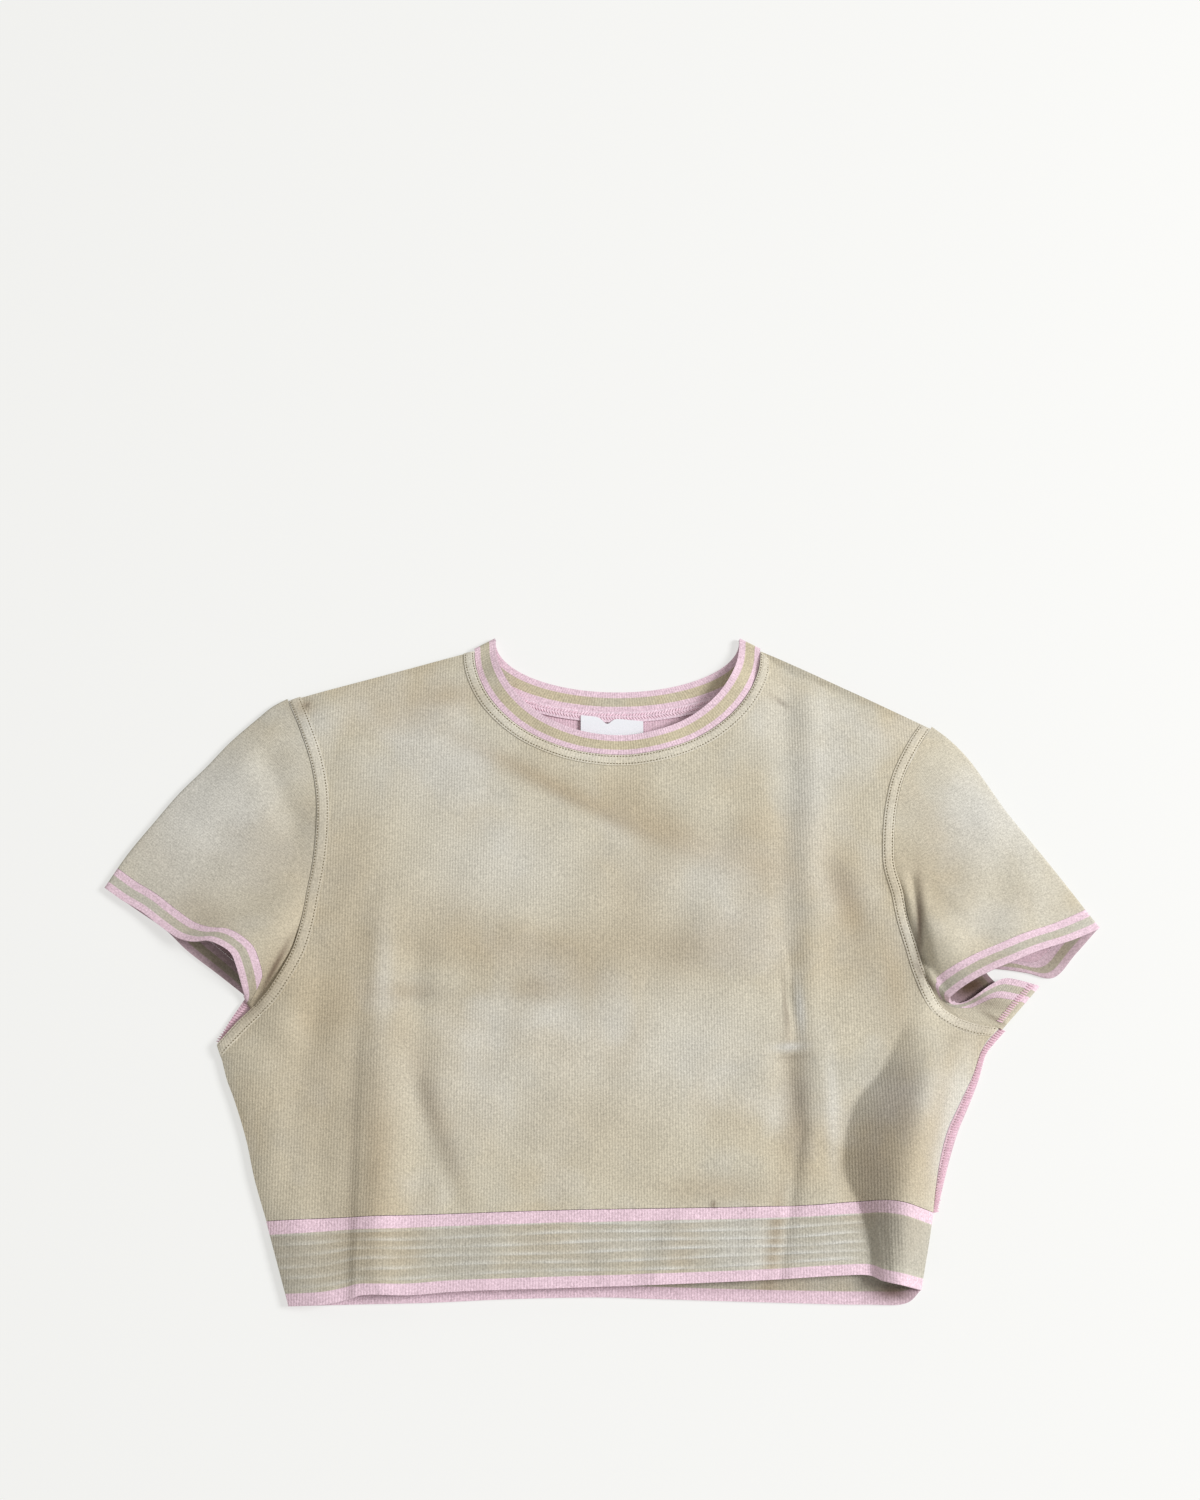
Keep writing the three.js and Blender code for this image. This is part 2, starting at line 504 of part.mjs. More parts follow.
for (const [side, armholeTable, topTable] of [['left', ARMHOLE_LEFT, SLEEVE_TOP_LEFT],
  ['right', ARMHOLE_RIGHT, SLEEVE_TOP_RIGHT]]) {
  const strips = SLEEVE_STRIPS[side];
  const columns = sleeveColumns(strips, armholeTable, topTable);
  const half = SLANTED_GAP / 2;
  const rings = (count, from, to) => between(0, 1, count).map((v) => sleeveRing(strips, columns,
    (column) => mix(from(column), to(column), v)));
  const sleeve = rings(SLEEVE_ROWS, (c) => half / c.length, (c) => c.cuffAt - half / c.length);
  const cuff = rings(CUFF_ROWS, (c) => c.cuffAt + half / c.length, () => 1);
  // The two share their directions at the seam between them, and the ring turns the other way on the right
  const turned = (rows) => (side === 'left' ? rows : rows.map((row) => [...row].reverse()));
  const normals = pointNormals(sheet(turned([...sleeve, ...cuff]), { ring: true }));
  const sleevePoints = sleeve.length * sleeve[0].length;
  piece(`sleeve_${side}`,
    wall(sheet(turned(sleeve), { ring: true }), CLOTH, { normals: normals.slice(0, sleevePoints) }), BEIGE);
  piece(`cuff_${side}`,
    wall(sheet(turned(cuff), { ring: true }), CLOTH, { normals: normals.slice(sleevePoints) }), PINK);
}

// Neckband: one ring, its front half over its back half at the two folded corners
function neckbandRow(w) {
  const at = (name) => mix(NECK_SEAM[name], NECK_EDGE[name], w);
  const shape = { y: at('y'), halfWidth: at('halfWidth') };
  const frontHalf = steps(NECKBAND_STEPS.front).map((share) => {
    const seamZ = layHeight(neckPoint(NECK_SEAM, NECK_SEAM.frontDrop, share), FOLDS);
    const standing = smooth(clamp01(Math.min(share, 1 - share) / NECK_CORNER_SHARE));
    const z = mix(TUBE_EDGE_Z, seamZ + NECKBAND_LIFT * w, standing);
    return [...neckPoint(shape, at('frontDrop'), share), Math.max(TUBE_EDGE_Z, z)];
  });
  const backHalf = between(1, 0, NECKBAND_STEPS.back).map((share) => [
    ...neckPoint(shape, at('backDrop'), share), BACK_Z]);
  return [...frontHalf, foldPoint(frontHalf.at(-1), backHalf[0], frontHalf.at(-2)),
    ...backHalf, foldPoint(backHalf.at(-1), frontHalf[0], frontHalf[1])];
}

const neckGap = SEAM_GAP / 2 / (NECK_SEAM.halfWidth - NECK_EDGE.halfWidth);
const neckRows = between(neckGap, 1, NECKBAND_STEPS.across).map(neckbandRow);
piece('neckband', wall(sheet(neckRows, { ring: true }), CLOTH), PINK);

// Neck tape on the inside of the back, along the neck seam
const insideBackZ = BACK_Z + CLOTH / 2 + SEAM_GAP;
const tapeShares = between(TAPE.from, TAPE.to, TAPE.steps);
const tapeRows = [SEAM_GAP / 2, TAPE.width].map((distance) => tapeShares.map((share) => {
  const [x, y] = neckPoint(NECK_SEAM, NECK_SEAM.backDrop, share);
  const [aheadX, aheadY] = neckPoint(NECK_SEAM, NECK_SEAM.backDrop, share + AHEAD);
  const step = Math.hypot(aheadX - x, aheadY - y);
  const [outX, outY] = [(aheadY - y) / step, -(aheadX - x) / step];
  return [x + outX * distance, y + outY * distance, insideBackZ + TAPE.thick / 2];
}));
piece('neck_tape', wall(sheet(tapeRows.reverse()), TAPE.thick), PINK);

// Woven label, sewn on over the tape, with a dip in its top edge where its loop hangs
const labelZ = insideBackZ + TAPE.thick + SEAM_GAP + LABEL.thick / 2;
const labelRows = [0, 1].map((v) => steps(LABEL.steps).map((u) => {
  const top = mix(LABEL.topLeft, LABEL.topRight, u);
  const dip = LABEL.dip * Math.exp(-(((u - LABEL.dipAt) / LABEL.dipReach) ** 2));
  return [mix(LABEL.left, LABEL.right, u), top - dip - LABEL.height * (1 - v), labelZ];
}));
piece('label', wall(sheet(labelRows), LABEL.thick), WHITE);

// Overlocked seam allowances that lie open beside the body, between two places on the back's own edge
function allowance(edge, shares, from, to, outerTable, count) {
  const outer = curve(outerTable);
  return sheet(steps(count).map((t) => {
    const [near, far] = [chordPoint(edge, shares, mix(from, to, t)), outer(t)];
    return [lower(lerp(near, far, SLANTED_GAP / flatDistance(near, far))), lower(far)];
  }));
}

const rightSeam = allowance(curve(SIDE_RIGHT), steps(BACK_STEPS.side), ALLOWANCE_STARTS.right,
  BACK_STEPS.side, ALLOWANCE_RIGHT, ALLOWANCE_STEPS.right);
const leftUnderarm = allowance(curve(ARMHOLE_LEFT), ARMHOLE_SHARES, ALLOWANCE_STARTS.left,
  LEFT_ALLOWANCE_END, ALLOWANCE_LEFT, ALLOWANCE_STEPS.left);
piece('side_seam_right', wall(rightSeam, CLOTH), PINK);
piece('underarm_left', wall(leftUnderarm, CLOTH), PINK);

export default garment;
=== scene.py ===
import math
from collections import namedtuple

import bpy
import numpy as np
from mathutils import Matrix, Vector


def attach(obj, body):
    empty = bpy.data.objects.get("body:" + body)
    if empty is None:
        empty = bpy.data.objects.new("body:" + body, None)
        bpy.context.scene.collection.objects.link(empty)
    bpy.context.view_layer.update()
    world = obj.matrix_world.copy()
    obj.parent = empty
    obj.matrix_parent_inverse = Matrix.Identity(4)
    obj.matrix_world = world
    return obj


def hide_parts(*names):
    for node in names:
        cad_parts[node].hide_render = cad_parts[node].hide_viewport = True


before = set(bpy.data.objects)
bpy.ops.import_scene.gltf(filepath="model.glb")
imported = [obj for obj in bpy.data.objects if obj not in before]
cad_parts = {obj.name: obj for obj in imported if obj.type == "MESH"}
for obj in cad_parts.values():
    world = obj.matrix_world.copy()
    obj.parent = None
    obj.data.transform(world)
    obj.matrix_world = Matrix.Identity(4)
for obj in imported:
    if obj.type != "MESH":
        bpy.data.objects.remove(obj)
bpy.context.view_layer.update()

# The garment lies on a pale table top and is seen from the hem side, 16 degrees off upright, from 1.3 m.
# The table is painted board. It is laid just under the cloth, and is no part of the garment.
MM = 0.001
CAMERA_TILT = math.radians(16)
CAMERA_DISTANCE = 1300
CAMERA_AIM = (0, 134.5, 0)
TABLE_HALF = 6000
TABLE_Z = -0.2


def linear(hex_color):
    """An sRGB hex colour as the linear RGBA that shaders use."""
    channels = [int(hex_color[i:i + 2], 16) / 255 for i in (1, 3, 5)]
    return tuple(c / 12.92 if c <= 0.04045 else ((c + 0.055) / 1.055) ** 2.4 for c in channels) + (1.0,)


def add_node(tree, kind, inputs=None, out=0, **settings):
    """Adds a node with its settings and its inputs, each a value or a socket, and returns an output."""
    node = tree.nodes.new(kind)
    for key, value in settings.items():
        setattr(node, key, value)
    for key, value in (inputs or {}).items():
        if isinstance(value, bpy.types.NodeSocket):
            tree.links.new(value, node.inputs[key])
        else:
            node.inputs[key].default_value = value
    return node.outputs[out] if len(node.outputs) else node


def new_material(name, roughness):
    """A material with one Principled shader, with its tree and that shader."""
    material = bpy.data.materials.new(name)
    material.use_nodes = True
    shader = material.node_tree.nodes["Principled BSDF"]
    shader.inputs["Roughness"].default_value = roughness
    return material, material.node_tree, shader


camera_data = bpy.data.cameras.new("camera")
camera_data.lens = 50
camera_data.sensor_width = 36
camera = bpy.data.objects.new("camera", camera_data)
camera.location = (Vector(CAMERA_AIM)
                   + CAMERA_DISTANCE * Vector((0, -math.sin(CAMERA_TILT), math.cos(CAMERA_TILT)))) * MM
camera.rotation_euler = (CAMERA_TILT, 0, 0)
bpy.context.scene.collection.objects.link(camera)
bpy.context.scene.camera = camera
bpy.context.scene.view_settings.view_transform = "Standard"

painted_board, tree, shader = new_material("painted_board", 0.9)
shader.inputs["Base Color"].default_value = linear("#9a9a98")
shader.inputs["Specular IOR Level"].default_value = 0.1
shader.inputs["Emission Color"].default_value = linear("#f4f4f2")
shader.inputs["Emission Strength"].default_value = 0.63
table_top = bpy.data.meshes.new("table_top")
corners = [(-1, -1), (1, -1), (1, 1), (-1, 1)]
table_top.from_pydata([(TABLE_HALF * x * MM, TABLE_HALF * y * MM, TABLE_Z * MM) for x, y in corners], [],
                      [(0, 1, 2, 3)])
table_top.materials.append(painted_board)
floor = bpy.data.objects.new("table_top", table_top)
bpy.context.scene.collection.objects.link(floor)

world = bpy.data.worlds.new("studio")
world.use_nodes = True
world.node_tree.nodes["Background"].inputs["Color"].default_value = linear("#fdfbf8")
world.node_tree.nodes["Background"].inputs["Strength"].default_value = 0.52
bpy.context.scene.world = world

WINDOW_PLACE = Vector((3150, 250, 2600))
window_light = bpy.data.lights.new("window", "AREA")
window_light.size = 1300 * MM
window_light.energy = 158
window_light.color = linear("#fbfcff")[:3]
window = bpy.data.objects.new("window", window_light)
window.location = WINDOW_PLACE * MM
window.rotation_euler = WINDOW_PLACE.to_track_quat("Z", "Y").to_euler()
bpy.context.scene.collection.objects.link(window)

# The cloth is a heavy double-faced knit, 2 mm thick: a beige face, and a pink reverse that shows inside.
# It is matt, softly napped and worn, with warm and grey clouds, stains and faded places; the shade in its
# creases and hollows is painted into its colour, and so is the light on some ridges.
# The real wales are too fine to show in the render, so they are drawn as coarse as one every 1.7 mm.
CLOTH = 2.0
WALE = 1.7
COURSE = 1.5
BEIGE = "#c9c1ac"
BEIGE_WARM = "#c2b498"
BEIGE_GREY = "#bbb8ac"
BEIGE_PALE = "#d1cfc7"
BAND_BEIGE = "#bdb8a8"
PINK = "#dfc0cb"
PINK_PALE = "#e9d0db"
STAIN_AND_SHADE_BROWN = "#b2a286"
SHADE_AND_SPOTS_BROWN = "#5b4636"
WAVE_TURNS = 20.0  # a wave texture turns by this many radians per unit
NAP = 1.1
HEATHER = 1.2
COURSE_HEIGHT = 0.45
NAP_HEIGHT = 2.2
BUMP = 0.33
BUMP_HEIGHT = 0.35
STRIPE_WANDER = 0.5
STRIPE_SOFT = 0.2
Cloud = namedtuple("Cloud", "tint size low high share")
CLOUDS = [Cloud(BEIGE_WARM, 75, 0.46, 0.62, 0.55), Cloud(BEIGE_GREY, 48, 0.5, 0.66, 0.45),
          Cloud(BEIGE_PALE, 60, 0.52, 0.7, 0.5)]
CLOUD_START = (7, 3, 0)

# Patches of stains and wear, and of painted shade and painted highlight: where each lies, its reach along and
# across, its turn and how strong it is in its middle.
Patch = namedtuple("Patch", "x y reach_x reach_y turn strength")
# Brown stains, and painted shade in folds and on the side away from the light.
STAINS_AND_SHADE = [Patch(*row) for row in [
    (-165, -50, 42, 110, 0, 0.5),  # painted shade on the left side, away from the light
    (-35, 113, 62, 6, -27, 0.85),  # brown streak under the neckline, with painted shade
    (40, 80, 46, 12, -26, 0.7),
    (100, 58, 34, 9, -20, 0.5),
    (-98, 166, 26, 9, 5, 0.6),  # by the left shoulder
    (-130, 150, 22, 10, 0, 0.35),
    (-30, 8, 90, 16, 0, 0.55),  # painted shade under the bust
    (-100, 25, 40, 22, 10, 0.35),
    (60, 5, 46, 22, 15, 0.4),
    (20, 40, 26, 30, 0, 0.4),
    (-10, -95, 46, 34, 0, 0.3),
    (66, -135, 30, 9, 0, 0.5),  # above the hem band
    (-130, -150, 26, 22, 0, 0.35),
    (100, 68, 24, 30, 0, 0.35),
    (150, 40, 16, 60, 0, 0.3),
    (150, 36, 9, 24, 24, 0.6),  # painted shade in the dent towards the right armhole
    (177, -8, 9, 34, 6, 0.6),
    (196, -105, 9, 50, -14, 0.6),  # painted shade down the right side
    (-119, -18, 22, 7, 0, 0.5),  # painted shade under the bust, in smudges
    (-38, -18, 20, 8, 0, 0.5),
    (-8, -10, 12, 20, 20, 0.35),
    (-96, -92, 8, 46, 21, 0.5),  # painted shade in the slanting crease on the left
    (114, -80, 8, 40, 3, 0.45),  # painted shade in the streaks under the small crease
    (101, -165, 5, 34, -8, 0.7),
    (-130, -110, 10, 50, 2, 0.6),
    (47, -172, 11, 18, -20, 0.55),
    (-262, 60, 26, 6, -34, 0.3),
    (-202, -14, 9, 34, -29, 0.6),  # painted shade along the left armhole
    (-208, 63, 28, 26, 0, 0.35),
    (-243, 33, 30, 14, -35, 0.55),  # above the left cuff
    (-150, 60, 20, 40, 0, 0.3),
    (215, 60, 22, 28, 0, 0.3),
    (228, -50, 16, 14, 0, 0.6),  # painted shade under the right arm
    (-185, 160, 8, 7, 0, 0.6),
]]
# Paler places: faded cloth, and painted highlight on the little ridge and beside the small crease.
FADES_AND_HIGHLIGHTS = [Patch(*row) for row in [
    (-252, 92, 46, 60, 0, 0.85),  # paler over the left sleeve
    (-60, 60, 50, 34, 0, 0.5),
    (64, 50, 34, 26, 20, 0.4),
    (52, -52, 60, 40, 0, 0.45),
    (-70, -70, 50, 44, 0, 0.4),
    (128, 100, 16, 60, 0, 0.5),
    (105, 150, 20, 22, 0, 0.4),
    (-215, 110, 20, 30, 40, 0.35),
    (235, 90, 30, 34, 50, 0.75),
    (240, 24, 30, 16, 23, 0.4),
    (-130, -10, 6, 34, 0, 0.4),
    (113, -52, 10, 2.6, 2, 0.9),  # painted highlight on the little ridge
    # painted highlight beside the small crease
    (120, -30, 3, 16, 3, 0.85),
    (137, -90, 4, 34, 0, 0.5),
    (-100, 120, 40, 30, 0, 0.5),
    (-10, -45, 30, 26, 0, 0.25),
    (30, -165, 90, 12, 0, 0.25),
    (208, -95, 9, 46, -16, 0.6),
]]
# Painted shade in hollows, creases and valleys, and a few small spots of dirt: the mark layer, mixed towards
# dark brown.
SHADE_AND_SPOTS = [Patch(*row) for row in [
    (172, -86, 13, 30, -20, 0.42),  # painted shade in the hollow by the roll, which is also browned
    (160, -127, 16, 31, 10, 0.42),
    (181, -98, 8, 32, -6, 0.26),
    (122, -92, 14, 40, 0, 0.15),
    (-130, -95, 14, 60, 0, 0.08),
    (164, -14, 11, 40, 12, 0.16),  # painted shade in the soft fold above it
    (150, 44, 8, 14, 30, 0.14),
    (188, -6, 6, 26, 10, 0.16),
    (197, -105, 7, 50, -14, 0.08),
    (119, -92, 5, 34, -4, 0.2),  # painted shade in the streaks under the small crease
    (101, -168, 3.5, 26, -8, 0.16),
    (114, -58, 9, 1.6, 0, 0.2),
    (-10, 96, 62, 3.5, -25, 0.12),  # painted shade along the sharp edge of the chest streak
    (-100, -20, 32, 5, 0, 0.1),  # painted shade under the bust
    (-28, -14, 28, 9, 0, 0.1),
    (50, 8, 20, 12, 30, 0.08),
    (-98, -90, 5, 44, 21, 0.12),
    (-146, -110, 5, 60, 0, 0.1),
    (193, 22, 26, 2.4, 88, 0.8),  # shade in the valleys beside the armholes
    (200, -16, 14, 1.6, -52, 0.6),
    (-196, -4, 19, 1.7, 63, 0.8),
    (238, -1, 30, 6, 23, 0.16),  # painted shade over the right cuff
    (231, -24, 16, 5, -12, 0.45),  # painted shade under the turned-back cuff
    (236, -34, 9, 1.6, -32, 0.5),
    (-212, -26, 6, 5, 0, 0.35),  # painted shade in the left underarm
    (111, -32, 1.5, 17, 3, 0.5),  # painted shade in the small sharp crease
    (-183, 161, 2.2, 2.4, 0, 0.6),  # small spots
    (-235, 64, 0.8, 1.0, 0, 0.7),
    (66, -144, 1.6, 2.2, 0, 0.7),
    (113, 163, 7, 1.6, -35, 0.4),
]]


def wave_scale(pitch):
    """The scale that gives a wave texture one wave for each pitch in millimetres."""
    return 2 * math.pi / WAVE_TURNS / pitch / MM


def patches(points, marks):
    """How strongly the patches of a table cover each point, from 0 to 1."""
    clear = np.ones(len(points))
    for mark in marks:
        turn = math.radians(mark.turn)
        dx, dy = points[:, 0] - mark.x, points[:, 1] - mark.y
        along = (dx * math.cos(turn) + dy * math.sin(turn)) / mark.reach_x
        across = (dy * math.cos(turn) - dx * math.sin(turn)) / mark.reach_y
        clear *= 1 - mark.strength * np.exp(-(along ** 2 + across ** 2))
    return 1 - clear


def knit(name, plain, stripes=(), width=1.0, relief=1.0, worn_and_shaded=True):
    """Knitted cloth, with stripes (edge, share of pink) by the second UV value, from a piece's free edge."""
    material, tree, shader = new_material(name, 0.93)
    uv = add_node(tree, "ShaderNodeUVMap", uv_map="cloth")
    place = add_node(tree, "ShaderNodeTexCoord", out="Object")
    wale = add_node(tree, "ShaderNodeTexWave", {"Vector": uv, "Scale": wave_scale(WALE), "Distortion": 1.2,
                                                "Detail": 1.0, "Detail Scale": 0.7}, "Fac",
                    bands_direction="X")
    course = add_node(tree, "ShaderNodeTexWave", {"Vector": uv, "Scale": wave_scale(COURSE),
                                                  "Distortion": 2.5, "Detail": 1.0, "Detail Scale": 1.0},
                      "Fac", bands_direction="Y")
    nap = add_node(tree, "ShaderNodeTexNoise", {"Vector": place, "Scale": 1 / NAP / MM, "Detail": 2.0}, "Fac")
    heather = add_node(tree, "ShaderNodeTexNoise", {"Vector": place, "Scale": 1 / HEATHER / MM, "Detail": 3.0,
                                                    "Roughness": 0.75}, "Fac")
    rows = add_node(tree, "ShaderNodeMath", {0: course, 1: COURSE_HEIGHT, 2: wale}, operation="MULTIPLY_ADD")
    height = add_node(tree, "ShaderNodeMath", {0: nap, 1: NAP_HEIGHT, 2: rows}, operation="MULTIPLY_ADD")
    bump = add_node(tree, "ShaderNodeBump", {"Height": height, "Strength": BUMP * relief,
                                             "Distance": BUMP_HEIGHT * MM})
    tree.links.new(bump, shader.inputs["Normal"])

    color = linear(plain)
    if worn_and_shaded:
        for cloud in CLOUDS:
            start = cloud.size * MM * Vector(CLOUD_START)
            moved = add_node(tree, "ShaderNodeMapping", {"Vector": place, "Location": start})
            noise = add_node(tree, "ShaderNodeTexNoise", {"Vector": moved, "Scale": 1 / (cloud.size * MM),
                                                          "Detail": 2.5, "Roughness": 0.55}, "Fac")
            share = add_node(tree, "ShaderNodeMapRange", {"Value": noise, "From Min": cloud.low,
                                                          "From Max": cloud.high, "To Max": cloud.share})
            color = add_node(tree, "ShaderNodeMix", {"Factor": share, 6: color, 7: linear(cloud.tint)}, 2,
                             data_type="RGBA")
        # The stain layer holds brown stains and painted shade; the fade layer holds faded places and painted
        # highlight.
        for layer, tint in (("stain_and_shade", STAIN_AND_SHADE_BROWN), ("fade", BEIGE_PALE)):
            share = add_node(tree, "ShaderNodeAttribute", out="Fac", attribute_name=layer)
            color = add_node(tree, "ShaderNodeMix", {"Factor": share, 6: color, 7: linear(tint)}, 2,
                             data_type="RGBA")
    if stripes:
        distance = add_node(tree, "ShaderNodeSeparateXYZ", {0: uv}, "Y")
        wander = add_node(tree, "ShaderNodeMath", {0: heather, 1: STRIPE_WANDER * MM, 2: distance},
                          operation="MULTIPLY_ADD")
        share = add_node(tree, "ShaderNodeMath", {0: wander, 1: 1 / (width * MM)}, operation="MULTIPLY")
        pink_share = add_node(tree, "ShaderNodeValToRGB", {"Fac": share})
        ramp = pink_share.node.color_ramp
        ramp.elements[0].color = (stripes[0][1],) * 3 + (1,)
        ramp.elements[1].position = 1
        ramp.elements[1].color = (stripes[-1][1],) * 3 + (1,)
        for (_, before), (edge, after) in zip(stripes, stripes[1:]):
            for position, pink in ((edge - STRIPE_SOFT, before), (edge + STRIPE_SOFT, after)):
                ramp.elements.new(position / width).color = (pink,) * 3 + (1,)
        rosy = add_node(tree, "ShaderNodeMix", {"Factor": heather, 6: linear(PINK), 7: linear(PINK_PALE)}, 2,
                        data_type="RGBA")
        color = add_node(tree, "ShaderNodeMix", {"Factor": pink_share, 6: color, 7: rosy}, 2,
                         data_type="RGBA")
    # The mark layer: painted shade, with a few spots of dirt, mixed towards dark brown.
    shade_and_spots = add_node(tree, "ShaderNodeAttribute", out="Fac", attribute_name="mark")
    color = add_node(tree, "ShaderNodeMix", {"Factor": shade_and_spots, 6: color, 7: linear(SHADE_AND_SPOTS_BROWN)}, 2,
                     data_type="RGBA")
    grain = add_node(tree, "ShaderNodeMapRange", {"Value": rows, "From Min": 0.1, "From Max": 1.3,
                                                  "To Min": 0.96, "To Max": 1.0})
    speckle = add_node(tree, "ShaderNodeMapRange", {"Value": heather, "From Min": 0.3, "From Max": 0.7,
                                                    "To Min": 0.74, "To Max": 1.2})
    shade = add_node(tree, "ShaderNodeMath", {0: grain, 1: speckle}, operation="MULTIPLY")
    color = add_node(tree, "ShaderNodeVectorMath", {0: color, "Scale": shade}, operation="SCALE")
    tree.links.new(color, shader.inputs["Base Color"])
    shader.inputs["Sheen Weight"].default_value = 0.12
    shader.inputs["Sheen Roughness"].default_value = 0.6
    shader.inputs["Specular IOR Level"].default_value = 0.15
    return material


beige_knit = knit("beige_double_knit", BEIGE)
pink_reverse = knit("pink_knit_reverse", PINK, worn_and_shaded=False)

# The front is one piece of knit from shoulder to shoulder and down to the hem band, cut out at neck and arms.
# It lies over the back as one soft layer, 6 mm above it, with the ridges and troughs it was laid down with.
BACK_Z = CLOTH / 2
SEAM_GAP = 0.3
EDGE_Z = BACK_Z + CLOTH + SEAM_GAP
FOLD_RADIUS = 1.3
TUBE_EDGE_Z = BACK_Z + 2 * FOLD_RADIUS
BODY_RISE = 5.6
ROUND_REACH = 27
NECK_X = 11
Neckline = namedtuple("Neckline", "y half_width front_drop back_drop")
NECK_SEAM = Neckline(198, 90, 69, 39.5)
NECK_EDGE = Neckline(205, 77, 64, 33.5)
NECK_SEAM_WIDTH = 7
ARMHOLE_BAND_WIDTH = 8
SHOULDER_LEFT = [(-79, 198), (-96, 194), (-118, 187), (-150, 179), (-174, 173), (-195, 165)]
SHOULDER_RIGHT = [(101, 198), (108, 191), (122, 182), (139, 175), (165, 162), (183, 155), (206, 147)]
ARMHOLE_LEFT = [(-195, 165), (-186, 144), (-179, 124), (-175, 104), (-174, 85), (-175, 64), (-178, 43),
                (-181, 24), (-185, 9), (-191, -4), (-199, -17), (-208, -27), (-218, -37), (-229, -50)]
ARMHOLE_RIGHT = [(206, 147), (197, 133), (187, 113), (182, 93), (180, 75), (180, 58), (184, 42), (187, 24),
                 (191, 9), (195, -6), (200, -19), (206, -28), (215, -34), (227, -38), (239, -40)]
SIDE_LEFT = [(-229, -50), (-226, -58), (-222, -71), (-217, -83), (-209, -106), (-203, -129), (-195, -153)]
SIDE_RIGHT = [(239, -40), (233, -46), (228, -53), (222, -68), (213, -85), (205, -101), (200, -118),
              (197, -134), (195, -148)]
HEM_SIDE_LEFT = [(-195, -153), (-188, -176), (-180, -201)]
HEM_SIDE_RIGHT = [(195, -148), (193, -169), (186, -192)]
HEM_SEAM_FRONT = [(-195, -153), (-144, -151), (-84, -149), (-23, -147), (36, -146), (93, -145), (125, -144),
                  (151, -142), (170, -142), (195, -148)]
SLEEVE_TOP_LEFT = [(-195, 165), (-204, 160), (-213, 152), (-229, 137), (-243, 121), (-259, 104), (-273, 86),
                   (-288, 66), (-301, 45)]
SLEEVE_TOP_RIGHT = [(206, 147), (216, 139), (227, 127), (237, 112), (249, 93), (266, 70), (282, 48),
                    (294, 31), (302, 20)]
CLOSED_EDGES = [SHOULDER_LEFT, SLEEVE_TOP_LEFT, SIDE_LEFT, HEM_SIDE_LEFT, ARMHOLE_LEFT[-3:],
                SHOULDER_RIGHT, SLEEVE_TOP_RIGHT, SIDE_RIGHT, HEM_SIDE_RIGHT, ARMHOLE_RIGHT[-4:]]

# A fold runs from point 1 to point 2 and reaches so far to its left and right. A trough's rise is negative.
Fold = namedtuple("Fold", "x1 y1 x2 y2 rise1 rise2 left right")
FOLDS = [Fold(*row) for row in [
    (-74, 119, 73, 75, -1.2, -1.6, 14, 14),  # slanting trough over the chest
    (-114, -12, 100, -16, -1.6, -1.2, 22, 22),  # broad dip under the bust
    (-133, 31, -128, -185, 1.6, 3.0, 12, 9),  # long ridge on the left
    (-169, 7, -164, -150, -1.4, -1.4, 11, 11),  # trough beside it
    (-110, 1, -105, -130, -1.8, -1.6, 9, 9),  # trough on its other side
    (-139, -30, -140, -198, 0.6, 2.6, 20, 4),  # sharp step down to the hem
    (-110, -77, -85, -141, -1.2, -1.2, 7, 7),  # short slanting crease
    (116, 171, 108, -141, -1.8, -1.6, 9, 9),  # long trough on the right
    (132, 165, 124, -120, 1.4, 1.2, 8, 8),  # ridge beside it
    (140, 55, 150, 30, -1.8, -1.8, 11, 11),  # soft dent at the bust
    (111, -15, 119, -51, -1.4, -0.8, 4, 4),  # small sharp crease
    (113, -53, 134, -53, 1.2, 1.2, 4, 4),  # little ridge across it
    (29, -194, 47, -150, 1.6, 0.8, 8, 8),  # streak in the hem band
    (-173, -36, -184, -130, -1.6, -1.4, 9, 9),  # drag line down the left side
    (-202, -30, -160, -71, 1.6, 0.6, 8, 8),  # pull from the left underarm
    (11, 118, 11, 122, -1.2, -1.2, 60, 60),  # the neck lies a little lower
]]
RollLine = namedtuple("RollLine", "y crease crest dip rise reach")
ROLL = [RollLine(*row) for row in [  # the great fold along the right side, from its start down to the hem
    (-22, 190, 196, 0.2, 0.4, 10),
    (-45, 179, 193, 0.9, 2.4, 12),
    (-68, 166, 192, 1.8, 6.4, 15),
    (-84, 152, 190, 2.2, 9.4, 19),
    (-109, 144, 186, 2.4, 12.0, 24),
    (-127, 144, 182, 2.4, 12.0, 24),
    (-145, 152, 179, 2.4, 11.6, 22),
    (-164, 157, 176, 2.2, 10.8, 16),
    (-186, 158, 174, 2.0, 10.0, 12),
    (-204, 159, 173, 1.8, 9.5, 11),
]]
ROLL_SLOPE = 1.55  # over 1, the roll is steepest at its crease
CREASE_REACH = 11
ROLL_START = 24  # the length over which it begins
ROLL_SAMPLES = 400
